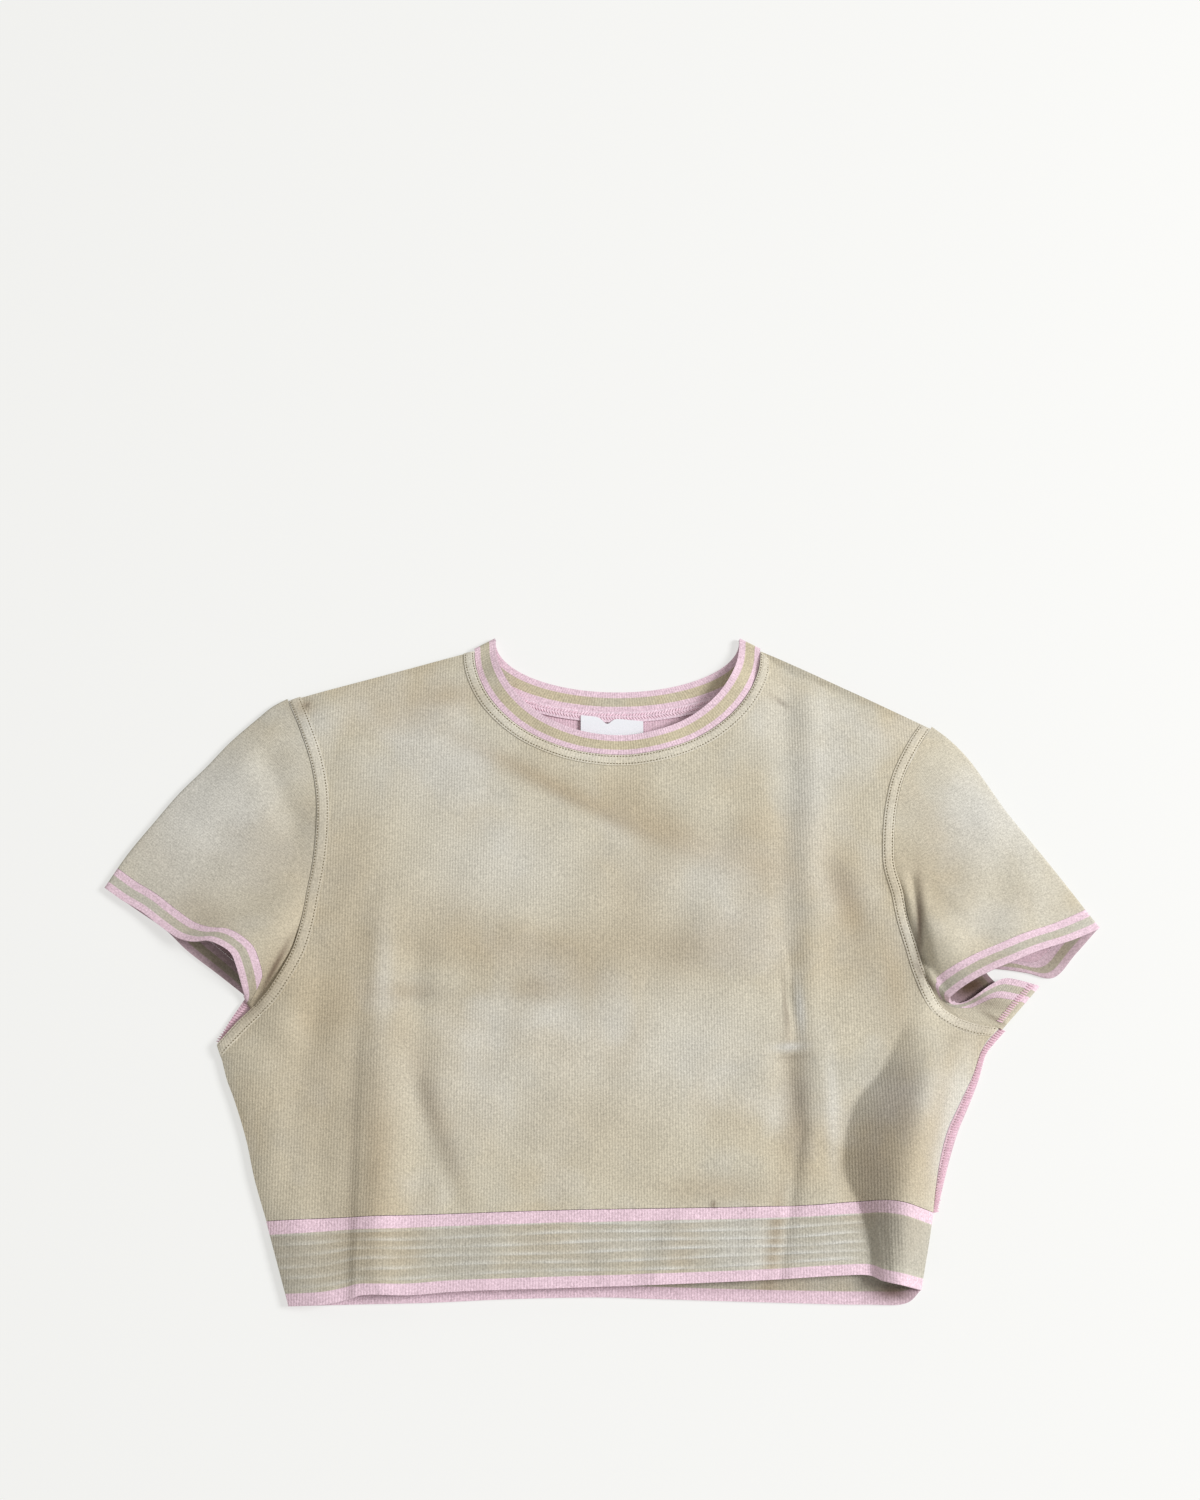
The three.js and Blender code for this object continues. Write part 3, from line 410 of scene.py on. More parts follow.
CREASES = [Fold(*row) for row in [
    (-60, -20, -40, 20, 0.35, 0.1, 14, 9),  # soft slack over the bust
    (15, 30, 35, -30, -0.4, -0.3, 12, 12),
    (60, 20, 84, 62, 0.4, 0.2, 16, 10),
    (-40, -60, -20, -130, 0.35, 0.2, 14, 14),
    (70, -70, 90, -130, 0.35, 0.3, 12, 12),
    (-12, -160, -2, -195, -0.4, -0.5, 6, 6),
    (-60, -160, -66, -195, 0.3, 0.4, 7, 7),
    (90, -150, 86, -190, 0.4, 0.3, 6, 6),
    (160, 60, 186, 30, -0.5, -0.6, 6, 6),  # drag towards the right armhole
    (-160, 40, -186, 10, -0.5, -0.5, 7, 7),  # and towards the left one
    (-150, 120, -165, 150, 0.3, 0.3, 10, 10),
    (112, -2, 112, -46, 1.1, 1.6, 1.6, 12),  # sharp step beside the small crease
    (110, -58, 119, -100, -0.9, -1.0, 6, 6),  # streaks below it
    (119, -100, 103, -190, -1.0, -1.3, 4, 4),
    (131, -60, 137, -110, 0.9, 1.0, 5, 5),
]]
SLACK = 0.22  # height of the cloth's own slow waviness
Wave = namedtuple("Wave", "length_mm turn start")
SLACK_WAVES = [Wave(61, 0.3, 0.4), Wave(43, 1.9, 2.2), Wave(34, 2.7, 4.1), Wave(27, 1.2, 1.0)]
ARMHOLE_STEPS = {"top": 44, "low": 20}
CHEST_SHARE = 0.67
CHEST_NECK_SHARE = 0.3
FRONT_COLUMNS = 230
FRONT_RINGS = 42
SIDE_STEPS = 56
BAND_STEPS = 4
LEVEL_ENOUGH = 0.5
AUTO_SHARP = math.radians(50)
CURVE_SAMPLES = 60


def curve(points):
    """A smooth curve through points, read by its share of the length."""
    p = [np.array([*q, 0.0][:3], float) for q in points]
    p = [2 * p[0] - p[1], *p, 2 * p[-1] - p[-2]]
    t = np.linspace(0, 1, CURVE_SAMPLES, endpoint=False)[:, None]
    stretches = []
    for a, b, c, d in zip(p, p[1:], p[2:], p[3:]):
        before, here, after = (math.sqrt(np.linalg.norm(v)) for v in (b - a, c - b, d - c))
        start = ((b - a) / before - (c - a) / (before + here) + (c - b) / here) * here
        end = ((c - b) / here - (d - b) / (here + after) + (d - c) / after) * here
        stretches.append(b + start * t + (3 * (c - b) - 2 * start - end) * t ** 2
                         + (2 * (b - c) + start + end) * t ** 3)
    samples = np.vstack([*stretches, p[-2]])
    lengths = np.concatenate([[0], np.cumsum(np.linalg.norm(np.diff(samples, axis=0), axis=1))])

    def at(share):
        distance = np.clip(share, 0, 1) * lengths[-1]
        return np.stack([np.interp(distance, lengths, samples[:, axis]) for axis in range(3)], -1)
    at.length = lengths[-1]
    return at


def mix(a, b, share):
    return a + (b - a) * share


def smooth(t):
    return t * t * (3 - 2 * t)


def segment_offset(x, y, x1, y1, x2, y2):
    """Share along a segment, and the offset from its nearest point."""
    dx, dy = x2 - x1, y2 - y1
    t = np.clip(((x - x1) * dx + (y - y1) * dy) / (dx * dx + dy * dy), 0, 1)
    return t, x - x1 - dx * t, y - y1 - dy * t


def fold_rise(fold, x, y):
    t, off_x, off_y = segment_offset(x, y, fold.x1, fold.y1, fold.x2, fold.y2)
    on_left = (fold.x2 - fold.x1) * off_y - (fold.y2 - fold.y1) * off_x > 0
    reach = np.where(on_left, fold.left, fold.right)
    return mix(fold.rise1, fold.rise2, t) * np.exp(-(off_x ** 2 + off_y ** 2) / reach ** 2)


def roll_rise(x, y):
    """The rise of the great fold: a crease, a slope up to its crest and a soft fall to the garment's side."""
    shares = np.linspace(1, 0, ROLL_SAMPLES)
    places = curve([(line.y, line.crease, line.crest) for line in ROLL])(shares)
    heights = curve([(line.y, line.dip, line.rise) for line in ROLL])(shares)
    crease, crest = (np.interp(y, places[:, 0], places[:, i]) for i in (1, 2))
    dip, rise = (np.interp(y, heights[:, 0], heights[:, i]) for i in (1, 2))
    reach = np.interp(y, [line.y for line in ROLL[::-1]], [line.reach for line in ROLL[::-1]])
    share = np.clip((x - crease) / (crest - crease), 0, 1)
    slope = mix(-dip, rise, 1 - (1 - share) ** ROLL_SLOPE)
    before = -dip * np.exp(-((x - crease) / CREASE_REACH) ** 2)
    after = rise * np.exp(-((x - crest) / reach) ** 2)
    form = np.where(x < crease, before, np.where(x > crest, after, slope))
    return form * smooth(np.clip((ROLL[0].y + ROLL_START - y) / ROLL_START, 0, 1))


def lay_height(points, folds):
    """Height of the middle of the upper layer over the table, for points given as rows of x and y."""
    x, y = points[..., 0], points[..., 1]
    edge = np.full(x.shape, np.inf)
    for rows in CLOSED_EDGES:
        for (x1, y1), (x2, y2) in zip(rows, rows[1:]):
            _, off_x, off_y = segment_offset(x, y, x1, y1, x2, y2)
            edge = np.minimum(edge, np.hypot(off_x, off_y))
    rounding = 1 - (1 - np.clip(edge / ROUND_REACH, 0, 1)) ** 2
    slack = sum(np.sin(2 * math.pi / w.length_mm * (x * math.cos(w.turn) + y * math.sin(w.turn)) + w.start)
                for w in SLACK_WAVES)
    rise = BODY_RISE + SLACK * slack + sum(fold_rise(fold, x, y) for fold in folds) + roll_rise(x, y)
    return np.maximum(EDGE_Z, EDGE_Z + rise * rounding)


Sheet = namedtuple("Sheet", "points quads uv")


def grid(points, uv, ring=False):
    """A sheet from rows of points. A ring's last column is sewn to its first."""
    rows, columns = points.shape[:2]
    row, column = np.mgrid[0:rows - 1, 0:columns - (0 if ring else 1)]
    ahead = (column + 1) % columns
    quads = np.stack([row * columns + column, row * columns + ahead, (row + 1) * columns + ahead,
                      (row + 1) * columns + column], -1)
    return Sheet(points.reshape(-1, 3), quads.reshape(-1, 4), uv.reshape(-1, 2))


def welded(*sheets):
    """One sheet from several that share their edges' points."""
    starts = np.cumsum([0] + [len(s.points) for s in sheets])
    points = np.vstack([s.points for s in sheets])
    quads = np.vstack([s.quads + start for s, start in zip(sheets, starts)])
    _, first, index = np.unique(np.round(points, 3), axis=0, return_index=True, return_inverse=True)
    return Sheet(points[first], index.reshape(-1)[quads], np.vstack([s.uv for s in sheets])[first])


def open_edges(quads):
    """Edges that only one quad has, as rows of two point numbers."""
    edges = np.vstack([quads[:, [i, (i + 1) % 4]] for i in range(4)])
    _, index, count = np.unique(np.sort(edges, axis=1), axis=0, return_inverse=True, return_counts=True)
    return edges[count[index.reshape(-1)] == 1]


def point_normals(sheet):
    """Ways out of a sheet. Its open edges are cut upright, so that two sewn pieces meet squarely."""
    a, b, c, d = (sheet.points[sheet.quads[:, i]] for i in range(4))
    faces = np.cross(c - a, d - b)
    normals = np.zeros_like(sheet.points)
    for i in range(4):
        np.add.at(normals, sheet.quads[:, i], faces)
    normals /= np.maximum(np.linalg.norm(normals, axis=1, keepdims=True), 1e-12)
    rim = np.unique(open_edges(sheet.quads))
    level = rim[np.abs(normals[rim, 2]) > LEVEL_ENOUGH]
    normals[level] = np.sign(normals[level, 2:3]) * np.array([0, 0, 1])
    return normals


def cloth_piece(name, sheet, materials, thickness=CLOTH, lift=0.0, relief=0.0, normals=None, painted_highlight=0.0,
                painted_shade=0.0, reverse_shade=0.0):
    """A closed wall round a sheet, with a material for its face, for its reverse and for its cut edges."""
    if normals is None:
        normals = point_normals(sheet)
    count = len(sheet.points)
    outer = sheet.points + normals * (lift + thickness / 2 + np.reshape(relief, (-1, 1)))
    inner = sheet.points + normals * (lift - thickness / 2)
    rim = open_edges(sheet.quads)
    quads = np.vstack([sheet.quads, sheet.quads[:, ::-1] + count,
                       np.column_stack([rim[:, 1], rim[:, 0], rim[:, 0] + count, rim[:, 1] + count])])
    mesh = bpy.data.meshes.new(name)
    mesh.from_pydata(np.vstack([outer, inner]) * MM, [], quads.tolist())
    for material in materials:
        mesh.materials.append(material)
    sides = np.repeat([0, 1, 2], [len(sheet.quads), len(sheet.quads), len(rim)])
    mesh.polygons.foreach_set("material_index", np.minimum(sides, len(materials) - 1).astype(np.int32))
    mesh.polygons.foreach_set("use_smooth", np.ones(len(quads), bool))
    mesh.set_sharp_from_angle(angle=AUTO_SHARP)
    layer = mesh.uv_layers.new(name="cloth")
    layer.data.foreach_set("uv", (np.vstack([sheet.uv, sheet.uv])[quads.reshape(-1)] * MM).ravel())
    # The stain, fade and mark layers hold stains, fading and spots together with painted shade and painted
    # highlight.
    for mark, marks in (("stain_and_shade", STAINS_AND_SHADE), ("fade", FADES_AND_HIGHLIGHTS), ("mark", SHADE_AND_SPOTS)):
        share = mesh.attributes.new(mark, "FLOAT", "POINT")
        covered = np.clip(patches(sheet.points, marks) + {"fade": painted_highlight, "mark": painted_shade}.get(mark, 0), 0, 1)
        on_reverse = np.broadcast_to(np.clip(reverse_shade, 0, 1) if mark == "mark" else 0.0, count)
        on_face = np.concatenate([np.broadcast_to(covered, count), on_reverse])
        share.data.foreach_set("value", on_face.astype(np.float32))
    piece = bpy.data.objects.new(name, mesh)
    bpy.context.scene.collection.objects.link(piece)
    return piece


def declare(piece, node):
    """Rides on the garment's one body in a CAD node's place, as a sheet of cloth of its cut size."""
    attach(piece, "root")
    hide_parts(node)


def neck_point(shape, drop, share):
    angle = math.pi * np.asarray(share)
    return np.stack([NECK_X - shape.half_width * np.cos(angle), shape.y - drop * np.sin(angle)], -1)


def across_body(start, end, columns):
    """Points along a line across the body, with the armhole bands' width kept at its ends."""
    length = np.linalg.norm(end - start)
    band = np.linspace(0, ARMHOLE_BAND_WIDTH, BAND_STEPS + 1)[:-1]
    middle = np.linspace(ARMHOLE_BAND_WIDTH, length - ARMHOLE_BAND_WIDTH, columns)
    distances = np.concatenate([band, middle, length - band[::-1]])
    distances[[0, -1]] += [SEAM_GAP / 2, -SEAM_GAP / 2]
    return start + (end - start) * (distances / length)[:, None]


def panel(hem_seam, neck_drop, columns, rings):
    """Places of a body panel: rays from the neckline to the arms and chest, and level rows below."""
    outlines = (ARMHOLE_LEFT, ARMHOLE_RIGHT, SIDE_LEFT, SIDE_RIGHT, hem_seam)
    left, right, side_left, side_right, seam = map(curve, outlines)
    rows = []
    for t in np.linspace(0, 1, ARMHOLE_STEPS["low"] + 1):
        share = mix(CHEST_SHARE, 1, t)
        rows.append(across_body(left(share)[:2], right(share)[:2], columns))
    seam_line = seam(np.linspace(0, 1, 400))
    last = across_body(side_left(1)[:2], side_right(1)[:2], columns)
    bend = np.interp(last[:, 0], seam_line[:, 0], seam_line[:, 1]) + SEAM_GAP / 2 - last[:, 1]
    for t in np.linspace(0, 1, SIDE_STEPS + 1)[1:]:
        row = across_body(side_left(t)[:2], side_right(t)[:2], columns)
        rows.append(row + np.stack([0 * bend, bend * t ** 3], -1))
    body = np.array(rows[::-1])
    arm_shares = np.linspace(0, CHEST_SHARE, ARMHOLE_STEPS["top"] + 1)[:-1]
    chest = rows[0]
    outline = np.vstack([left(arm_shares)[:, :2], chest, right(arm_shares[::-1])[:, :2]])
    side = np.linspace(0, CHEST_NECK_SHARE, len(arm_shares) + 1)
    neck_shares = np.concatenate([side[:-1], np.linspace(CHEST_NECK_SHARE, 1 - CHEST_NECK_SHARE, len(chest)),
                                  1 - side[-2::-1]])
    inner = neck_point(NECK_SEAM, neck_drop, neck_shares)
    length = np.linalg.norm(outline - inner, axis=1)[:, None]
    gap = np.full_like(length, SEAM_GAP / 2)
    on_chest = np.zeros(len(outline), bool)
    on_chest[len(arm_shares):len(arm_shares) + len(chest)] = True
    end = length - np.where(on_chest[:, None], 0, SEAM_GAP / 2)
    band = np.linspace(0, 1, BAND_STEPS + 1)
    distances = np.hstack([mix(gap, NECK_SEAM_WIDTH, band[:-1]),
                           mix(NECK_SEAM_WIDTH, length - ARMHOLE_BAND_WIDTH, np.linspace(0, 1, rings + 1)),
                           mix(length - ARMHOLE_BAND_WIDTH, end, band[1:])])
    rays = inner[:, None] + (outline - inner)[:, None] * (distances / length)[:, :, None]
    return body, rays


def raised(points, folds=FOLDS + CREASES):
    return np.concatenate([points[..., :2], lay_height(points, folds)[..., None]], -1)


def flat_lower(points):
    return np.concatenate([points[..., :2], np.full(points.shape[:-1] + (1,), BACK_Z)], -1)


front_body, front_rays = map(raised, panel(HEM_SEAM_FRONT, NECK_SEAM.front_drop, FRONT_COLUMNS, FRONT_RINGS))
front_sheet = welded(grid(front_body, front_body[..., :2]), grid(front_rays, front_rays[..., :2]))
front = cloth_piece("front_cloth", front_sheet, [beige_knit, pink_reverse, beige_knit])
declare(front, "front_panel")

# The back is the same knit, cut with a shallower neckline, and lies flat on the table with its pink side up.
# Its beige face is underneath. It is seen through the neck and below the front hem.
HEM_SEAM_BACK = [(-195, -153), (-100, -152), (0, -150), (100, -151), (195, -148)]
BACK_COLUMNS = 50
BACK_RINGS = 14
back_body, back_rays = map(flat_lower, panel(HEM_SEAM_BACK, NECK_SEAM.back_drop, BACK_COLUMNS, BACK_RINGS))
back_sheet = welded(grid(back_body, back_body[..., :2]), grid(back_rays, back_rays[..., :2]))
back = cloth_piece("back_cloth", back_sheet, [pink_reverse, beige_knit, beige_knit])
declare(back, "back_panel")

# Each hem band is a strip of the same yarns, knitted with a pink edge on both sides and linked to the body.
# Six fine tucks run level round its beige middle. The front band is shorter, so the back one shows below it.
HEM_EDGE_FRONT = [(-180, -201), (-157, -200), (-144, -197), (-137, -195), (-110, -195), (-84, -193),
                  (-23, -191), (36, -189), (105, -186), (138, -184), (157, -184), (163, -187), (176, -190),
                  (186, -192)]
HEM_EDGE_BACK = [(-180, -201), (-143, -200), (-99, -199), (-54, -197), (0, -196), (36, -197), (105, -199),
                 (154, -200), (178, -199), (186, -192)]
HEM_WIDTH = 46
HEM_PINK = 7
HEM_COLUMNS = 300
HEM_ROWS = 92
TUCKS = {"count": 6, "from": 0.21, "to": 0.82, "rise": 0.95, "above": 0.28, "below": 0.08}
TUCKS_UNEVEN = {"pressed": 0.3, "wave": 47, "wander": 0.1, "wander_wave": 163, "left": 0.75, "gain": 500,
                "least": 0.4, "end": 160, "fade": 22}
# Painted shade in the grooves between the tucks: how dark, and how soon a tuck clears it.
GROOVES = {"painted_shade": 0.1, "clear": 4}
PUCKERS = {"pitch": 3.1, "rise": 0.2, "from": 152, "fade": 10, "slant": 6, "wobble": 0.8, "wobbles": 9}
MOUTH_SHADE = [Patch(170, -193, 15, 5.5, 0, 0.85), Patch(100, -190, 90, 4, 1, 0.2)]
hem_knit = knit("striped_hem_knit", BAND_BEIGE, [(0, 1), (HEM_PINK, 0), (HEM_WIDTH - HEM_PINK, 1)], HEM_WIDTH)


def hem_sheet(seam_points, edge_points, place):
    """A band's sheet, with the share of its width as well, for the tucks."""
    v, u = np.meshgrid(np.linspace(0, 1, HEM_ROWS + 1), np.linspace(0, 1, HEM_COLUMNS + 1), indexing="ij")
    bottom, top = curve(edge_points)(u), curve(seam_points)(u)
    reach = 1 - SEAM_GAP / 2 / np.linalg.norm(top - bottom, axis=-1)
    points = mix(bottom, top, (v * reach)[..., None])
    uv = np.stack([points[..., 0], v * HEM_WIDTH], -1)
    return grid(place(points), uv), v.ravel()


def tuck_relief(v, x):
    """Height of the tucks across a band: narrow ridges, pressed more or less flat, pulled out by the roll."""
    how = TUCKS_UNEVEN
    phase = (v - TUCKS["from"]) / (TUCKS["to"] - TUCKS["from"]) * (TUCKS["count"] - 1)
    phase = phase + how["wander"] * np.sin(2 * math.pi * x / how["wander_wave"] + 1.3 * np.round(phase))
    nearest = np.clip(np.round(phase), 0, TUCKS["count"] - 1)
    reach = np.where(phase > nearest, TUCKS["above"], TUCKS["below"])
    pressed = 1 - how["pressed"] * (1 + np.sin(2 * math.pi * x / how["wave"] + 2.1 * nearest))
    fading = smooth(np.clip((how["end"] - x) / how["fade"], 0, 1))
    fading = fading * np.clip(how["left"] + x / how["gain"], how["least"], 1)
    return TUCKS["rise"] * pressed * fading * np.exp(-((phase - nearest) / reach) ** 2)


def pucker_relief(v, x):
    """Height of the fine upright puckers in the end of the band that the roll pulls round."""
    bent = x + PUCKERS["slant"] * v + PUCKERS["wobble"] * np.sin(PUCKERS["wobbles"] * v + x)
    start = smooth(np.clip((x - PUCKERS["from"]) / PUCKERS["fade"], 0, 1))
    waves = np.sin(2 * math.pi * bent / PUCKERS["pitch"])
    return PUCKERS["rise"] * start * waves * np.sin(math.pi * v) ** 0.5


hem_front_sheet, hem_v = hem_sheet(HEM_SEAM_FRONT, HEM_EDGE_FRONT, raised)
# The tuck crests are painted paler, a painted highlight, and the grooves between them darker, a painted
# shade.
tucks = tuck_relief(hem_v, hem_front_sheet.points[:, 0])
puckers = pucker_relief(hem_v, hem_front_sheet.points[:, 0])
tucked = (hem_v > TUCKS["from"]) * (hem_v < TUCKS["to"])
groove_shade = GROOVES["painted_shade"] * np.clip(1 - GROOVES["clear"] * tucks, 0, 1) * tucked
hem_front = cloth_piece("hem_band_front_cloth", hem_front_sheet, [hem_knit], relief=tucks + puckers,
                        painted_highlight=tucks, painted_shade=groove_shade)
declare(hem_front, "hem_band_front")
hem_back_sheet, _ = hem_sheet(HEM_SEAM_BACK, HEM_EDGE_BACK, flat_lower)
hem_back = cloth_piece("hem_band_back_cloth", hem_back_sheet, [hem_knit],
                       painted_shade=patches(hem_back_sheet.points, MOUTH_SHADE))
declare(hem_back, "hem_band_back")

# Each sleeve is a short tube of the knit, set into the armhole, and ends in a 14 mm cuff with pink edges.
# The left cuff gapes over its lower edge. The right one is turned back at the underarm, its flap face up.
CUFF_WIDTH = 14
CUFF_PINK = 4.5
CUFF_SHARE_MOST = 0.6
CUFF_GAP = 0.12  # the cuff is linked tightly, and its seam hardly opens
FINER = 4  # columns to one step of the armhole
STEP_LENGTH = 7  # of cloth round the sleeve
SLEEVE_ROWS = 30
INSIDE_SHADE = 0.15  # painted shade inside the sleeves, and where it is deepest
INSIDE_SHADE_PATCHES = {"left": [Patch(-222, 2, 24, 22, 0, 0.5)],
                "right": [Patch(224, -14, 17, 9, 20, 0.9), Patch(283, 8, 22, 7, 40, 0.35)]}
STEEP_FROM = 0.5  # share of the armhole from which the sleeve rises steeply
STEEP_GAIN = 1.6
STEEPNESS = 7
CUFF_ROWS = 10
CUFF_UPPER_LEFT = [(-301, 45, 3.6), (-291, 38, 4), (-279, 31, 5), (-267, 22, 6), (-255, 14, 8),
                   (-245, 11, 12), (-236, 11, 15), (-228, 8, 17), (-221, 3, 16.5), (-218, -4, 14),
                   (-216, -12, 8.5), (-214, -20, 3.6)]
CUFF_LOWER_LEFT = [(-214, -20, 1), (-231, -7, 1), (-251, 8, 1), (-264, 20, 1), (-283, 33, 1), (-301, 45, 1)]
CUFF_UPPER_RIGHT = [(302, 20, 3.6), (293, 16, 5), (283, 12, 7), (265, 6, 11), (251, 0, 15), (235, -7, 18),
                    (223, -13, 17), (215, -18, 13.5), (210, -22, 10.5)]
CUFF_FLAP_RIGHT = [(212, -24.5, 4.2), (217, -25, 4.2), (222, -23, 4.6), (228, -19, 4.8), (235, -14, 4.6),
                   (244, -10, 4.2), (252, -11, 4), (263, -14, 3.6)]
CUFF_LOWER_RIGHT = [(263, -14, 1), (250, -16, 1), (240, -13, 1), (233, -4, 1), (244, -4, 1), (258, -6, 1),
                    (274, -9, 1), (288, 5, 1), (302, 20, 1)]
SLEEVE_FOLDS = [Fold(*row) for row in [
    (-205, 123, -187, 84, -2.4, -2.0, 9, 9),  # dimple in the left sleeve
    (-184, 12, -204, -16, -3.0, -3.6, 12, 12),  # the left sleeve sinks beside the armhole
    (-262, 62, -228, 24, -1.0, 1.0, 12, 12),  # slant over the left sleeve
    (190, 50, 196, 0, -2.2, -3.0, 3, 3),  # valley between the right sleeve and the body
    (196, 0, 206, -16, -3.0, -2.0, 3, 3),
    (205, 20, 215, -8, 1.0, 1.2, 10, 10),  # the right sleeve bulges beside it
    (238, 52, 276, 56, 0.7, 0.5, 5, 5),  # wrinkles over the right sleeve
    (206, 48, 222, 30, 0.9, 0.4, 4, 5),
    (222, 96, 240, 60, -0.7, -0.5, 6, 6),
    (-232, 138, -206, 104, 0.5, 0.3, 5, 6),  # and over the left one
    (-268, 96, -226, 74, -0.5, -0.4, 6, 6),
    (250, 70, 232, 18, -1.4, -1.6, 11, 11),  # soft trough down the right sleeve
]]
Strip = namedtuple("Strip", "layer start end edge split lag")
SLEEVES = {
    "left": (ARMHOLE_LEFT, SLEEVE_TOP_LEFT, [
        Strip("upper", 0, 14, CUFF_UPPER_LEFT, 1, 1),
        Strip("lower", 14, 0, CUFF_LOWER_LEFT, 1, 1)]),
    "right": (ARMHOLE_RIGHT, SLEEVE_TOP_RIGHT, [
        Strip("upper", 0, 12, CUFF_UPPER_RIGHT, 1, 1),
        Strip("flap", 13, 16, CUFF_FLAP_RIGHT, 2, 1.35),
        Strip("lower", 16, 0, CUFF_LOWER_RIGHT, 1, 1)]),
}
ROUND_STEPS = 6
ARMHOLE_SHARES = np.concatenate([np.linspace(0, CHEST_SHARE, ARMHOLE_STEPS["top"] + 1),
                                 np.linspace(CHEST_SHARE, 1, ARMHOLE_STEPS["low"] + 1)[1:]])
CUFF_STRIPES = [(0, 1), (CUFF_PINK, 0), (CUFF_WIDTH - CUFF_PINK, 1)]
cuff_knit = knit("striped_cuff_knit", BAND_BEIGE, CUFF_STRIPES, CUFF_WIDTH)


def sleeve_height(points):
    return np.maximum(TUBE_EDGE_Z, lay_height(points, FOLDS + SLEEVE_FOLDS))


def strip_points(strip, armhole, top, rows, from_cuff):
    """Rows of points of one strip of a sleeve, from the armhole (or the cuff's seam) outwards."""
    t = np.linspace(0, 1, abs(strip.end - strip.start) * strip.split * FINER + 1)
    places = mix(strip.start, strip.end, t) * FINER
    start = armhole(np.interp(places, np.arange(len(ARMHOLE_SHARES)), ARMHOLE_SHARES))
    end = curve(strip.edge)(t ** strip.lag)
    length = np.linalg.norm((end - start)[:, :2], axis=1)
    half = CUFF_GAP / 2 / length
    cuff_at = 1 - np.minimum(CUFF_WIDTH / length, CUFF_SHARE_MOST)
    low, high = (cuff_at + half, np.ones_like(half)) if from_cuff else (half, cuff_at - half)
    s = mix(low, high, np.linspace(0, 1, rows + 1)[:, None])
    near_top = {"upper": (1 - t) ** 2, "lower": t ** 2, "flap": 0 * t}[strip.layer]
    bulge = (top(s) - mix(top(0), top(1), s[..., None])) * near_top[:, None]
    points = mix(start[:, :2], end[:, :2], s[..., None]) + bulge[..., :2]
    if strip.layer == "lower":
        height = np.full(s.shape, BACK_Z)
    elif strip.layer == "flap":
        height = mix(sleeve_height(start), end[:, 2], s)
    else:
        steep = smooth(np.clip((t - STEEP_FROM) / (1 - STEEP_FROM) * STEEP_GAIN, 0, 1))
        share = mix(smooth(s), 1 - (1 - s) ** STEEPNESS, steep)
        height = sleeve_height(points) + (end[:, 2] - sleeve_height(end)) * share
    height = height if strip.layer == "lower" else np.maximum(TUBE_EDGE_Z, height)
    uv = np.stack([np.broadcast_to(places * STEP_LENGTH, s.shape), (1 - s) * length], -1)
    return np.concatenate([points, height[..., None]], -1), uv


def rounded_turn(before, after, inward):
    """Points round a ring's folded edge, from the end of one layer to the start of the next."""
    middle = mix(before, after, 0.5)
    out = (middle - inward)[..., :2]
    out /= np.linalg.norm(out, axis=-1, keepdims=True)
    radius = np.minimum(FOLD_RADIUS, np.abs(before[..., 2] - after[..., 2]) / 2)[..., None]
    turns = []
    for angle in np.linspace(0, math.pi, ROUND_STEPS + 1)[1:-1]:
        point = mix(before, after, (1 - math.cos(angle)) / 2)
        point[..., :2] += out * radius * math.sin(angle)
        turns.append(point)
    return np.stack(turns, -2)


def ring_rows(strips, armhole, top, rows, from_cuff):
    """Rows of a sleeve's whole ring: its strips, and the rounded turn after each."""
    parts = [strip_points(strip, armhole, top, rows, from_cuff) for strip in strips]
    points, uvs = [], []
    for (here, uv), (ahead, _) in zip(parts, parts[1:] + parts[:1]):
        inward = mix(here[:, -1 - FINER], ahead[:, FINER], 0.5)
        turn = rounded_turn(here[:, -1], ahead[:, 0], inward)
        points += [here, turn]
        uvs += [uv, np.repeat(uv[:, -1:], turn.shape[1], axis=1)]
    return np.concatenate(points, 1), np.concatenate(uvs, 1)


for side, (armhole_points, top_points, strips) in SLEEVES.items():
    armhole, top = curve(armhole_points), curve(top_points)
    sleeve_points, sleeve_uv = ring_rows(strips, armhole, top, SLEEVE_ROWS, False)
    cuff_points, cuff_uv = ring_rows(strips, armhole, top, CUFF_ROWS, True)
    turned = slice(None, None, -1) if side == "left" else slice(None)
    whole = grid(np.vstack([sleeve_points, cuff_points])[:, turned],
                 np.vstack([sleeve_uv, cuff_uv])[:, turned], True)
    normals = point_normals(whole)
    split = sleeve_points.shape[0] * sleeve_points.shape[1]
    sleeve_sheet = grid(sleeve_points[:, turned], sleeve_uv[:, turned], True)
    cuff_sheet = grid(cuff_points[:, turned], cuff_uv[:, turned], True)
    sleeve = cloth_piece(f"sleeve_{side}_cloth", sleeve_sheet, [beige_knit, pink_reverse, beige_knit],
                         normals=normals[:split],
                         reverse_shade=INSIDE_SHADE + patches(sleeve_sheet.points, INSIDE_SHADE_PATCHES[side]))
    cuff = cloth_piece(f"cuff_{side}_cloth", cuff_sheet, [cuff_knit], normals=normals[split:],
                       reverse_shade=INSIDE_SHADE + patches(cuff_sheet.points, INSIDE_SHADE_PATCHES[side]))
    declare(sleeve, f"sleeve_{side}")
    declare(cuff, f"cuff_{side}")

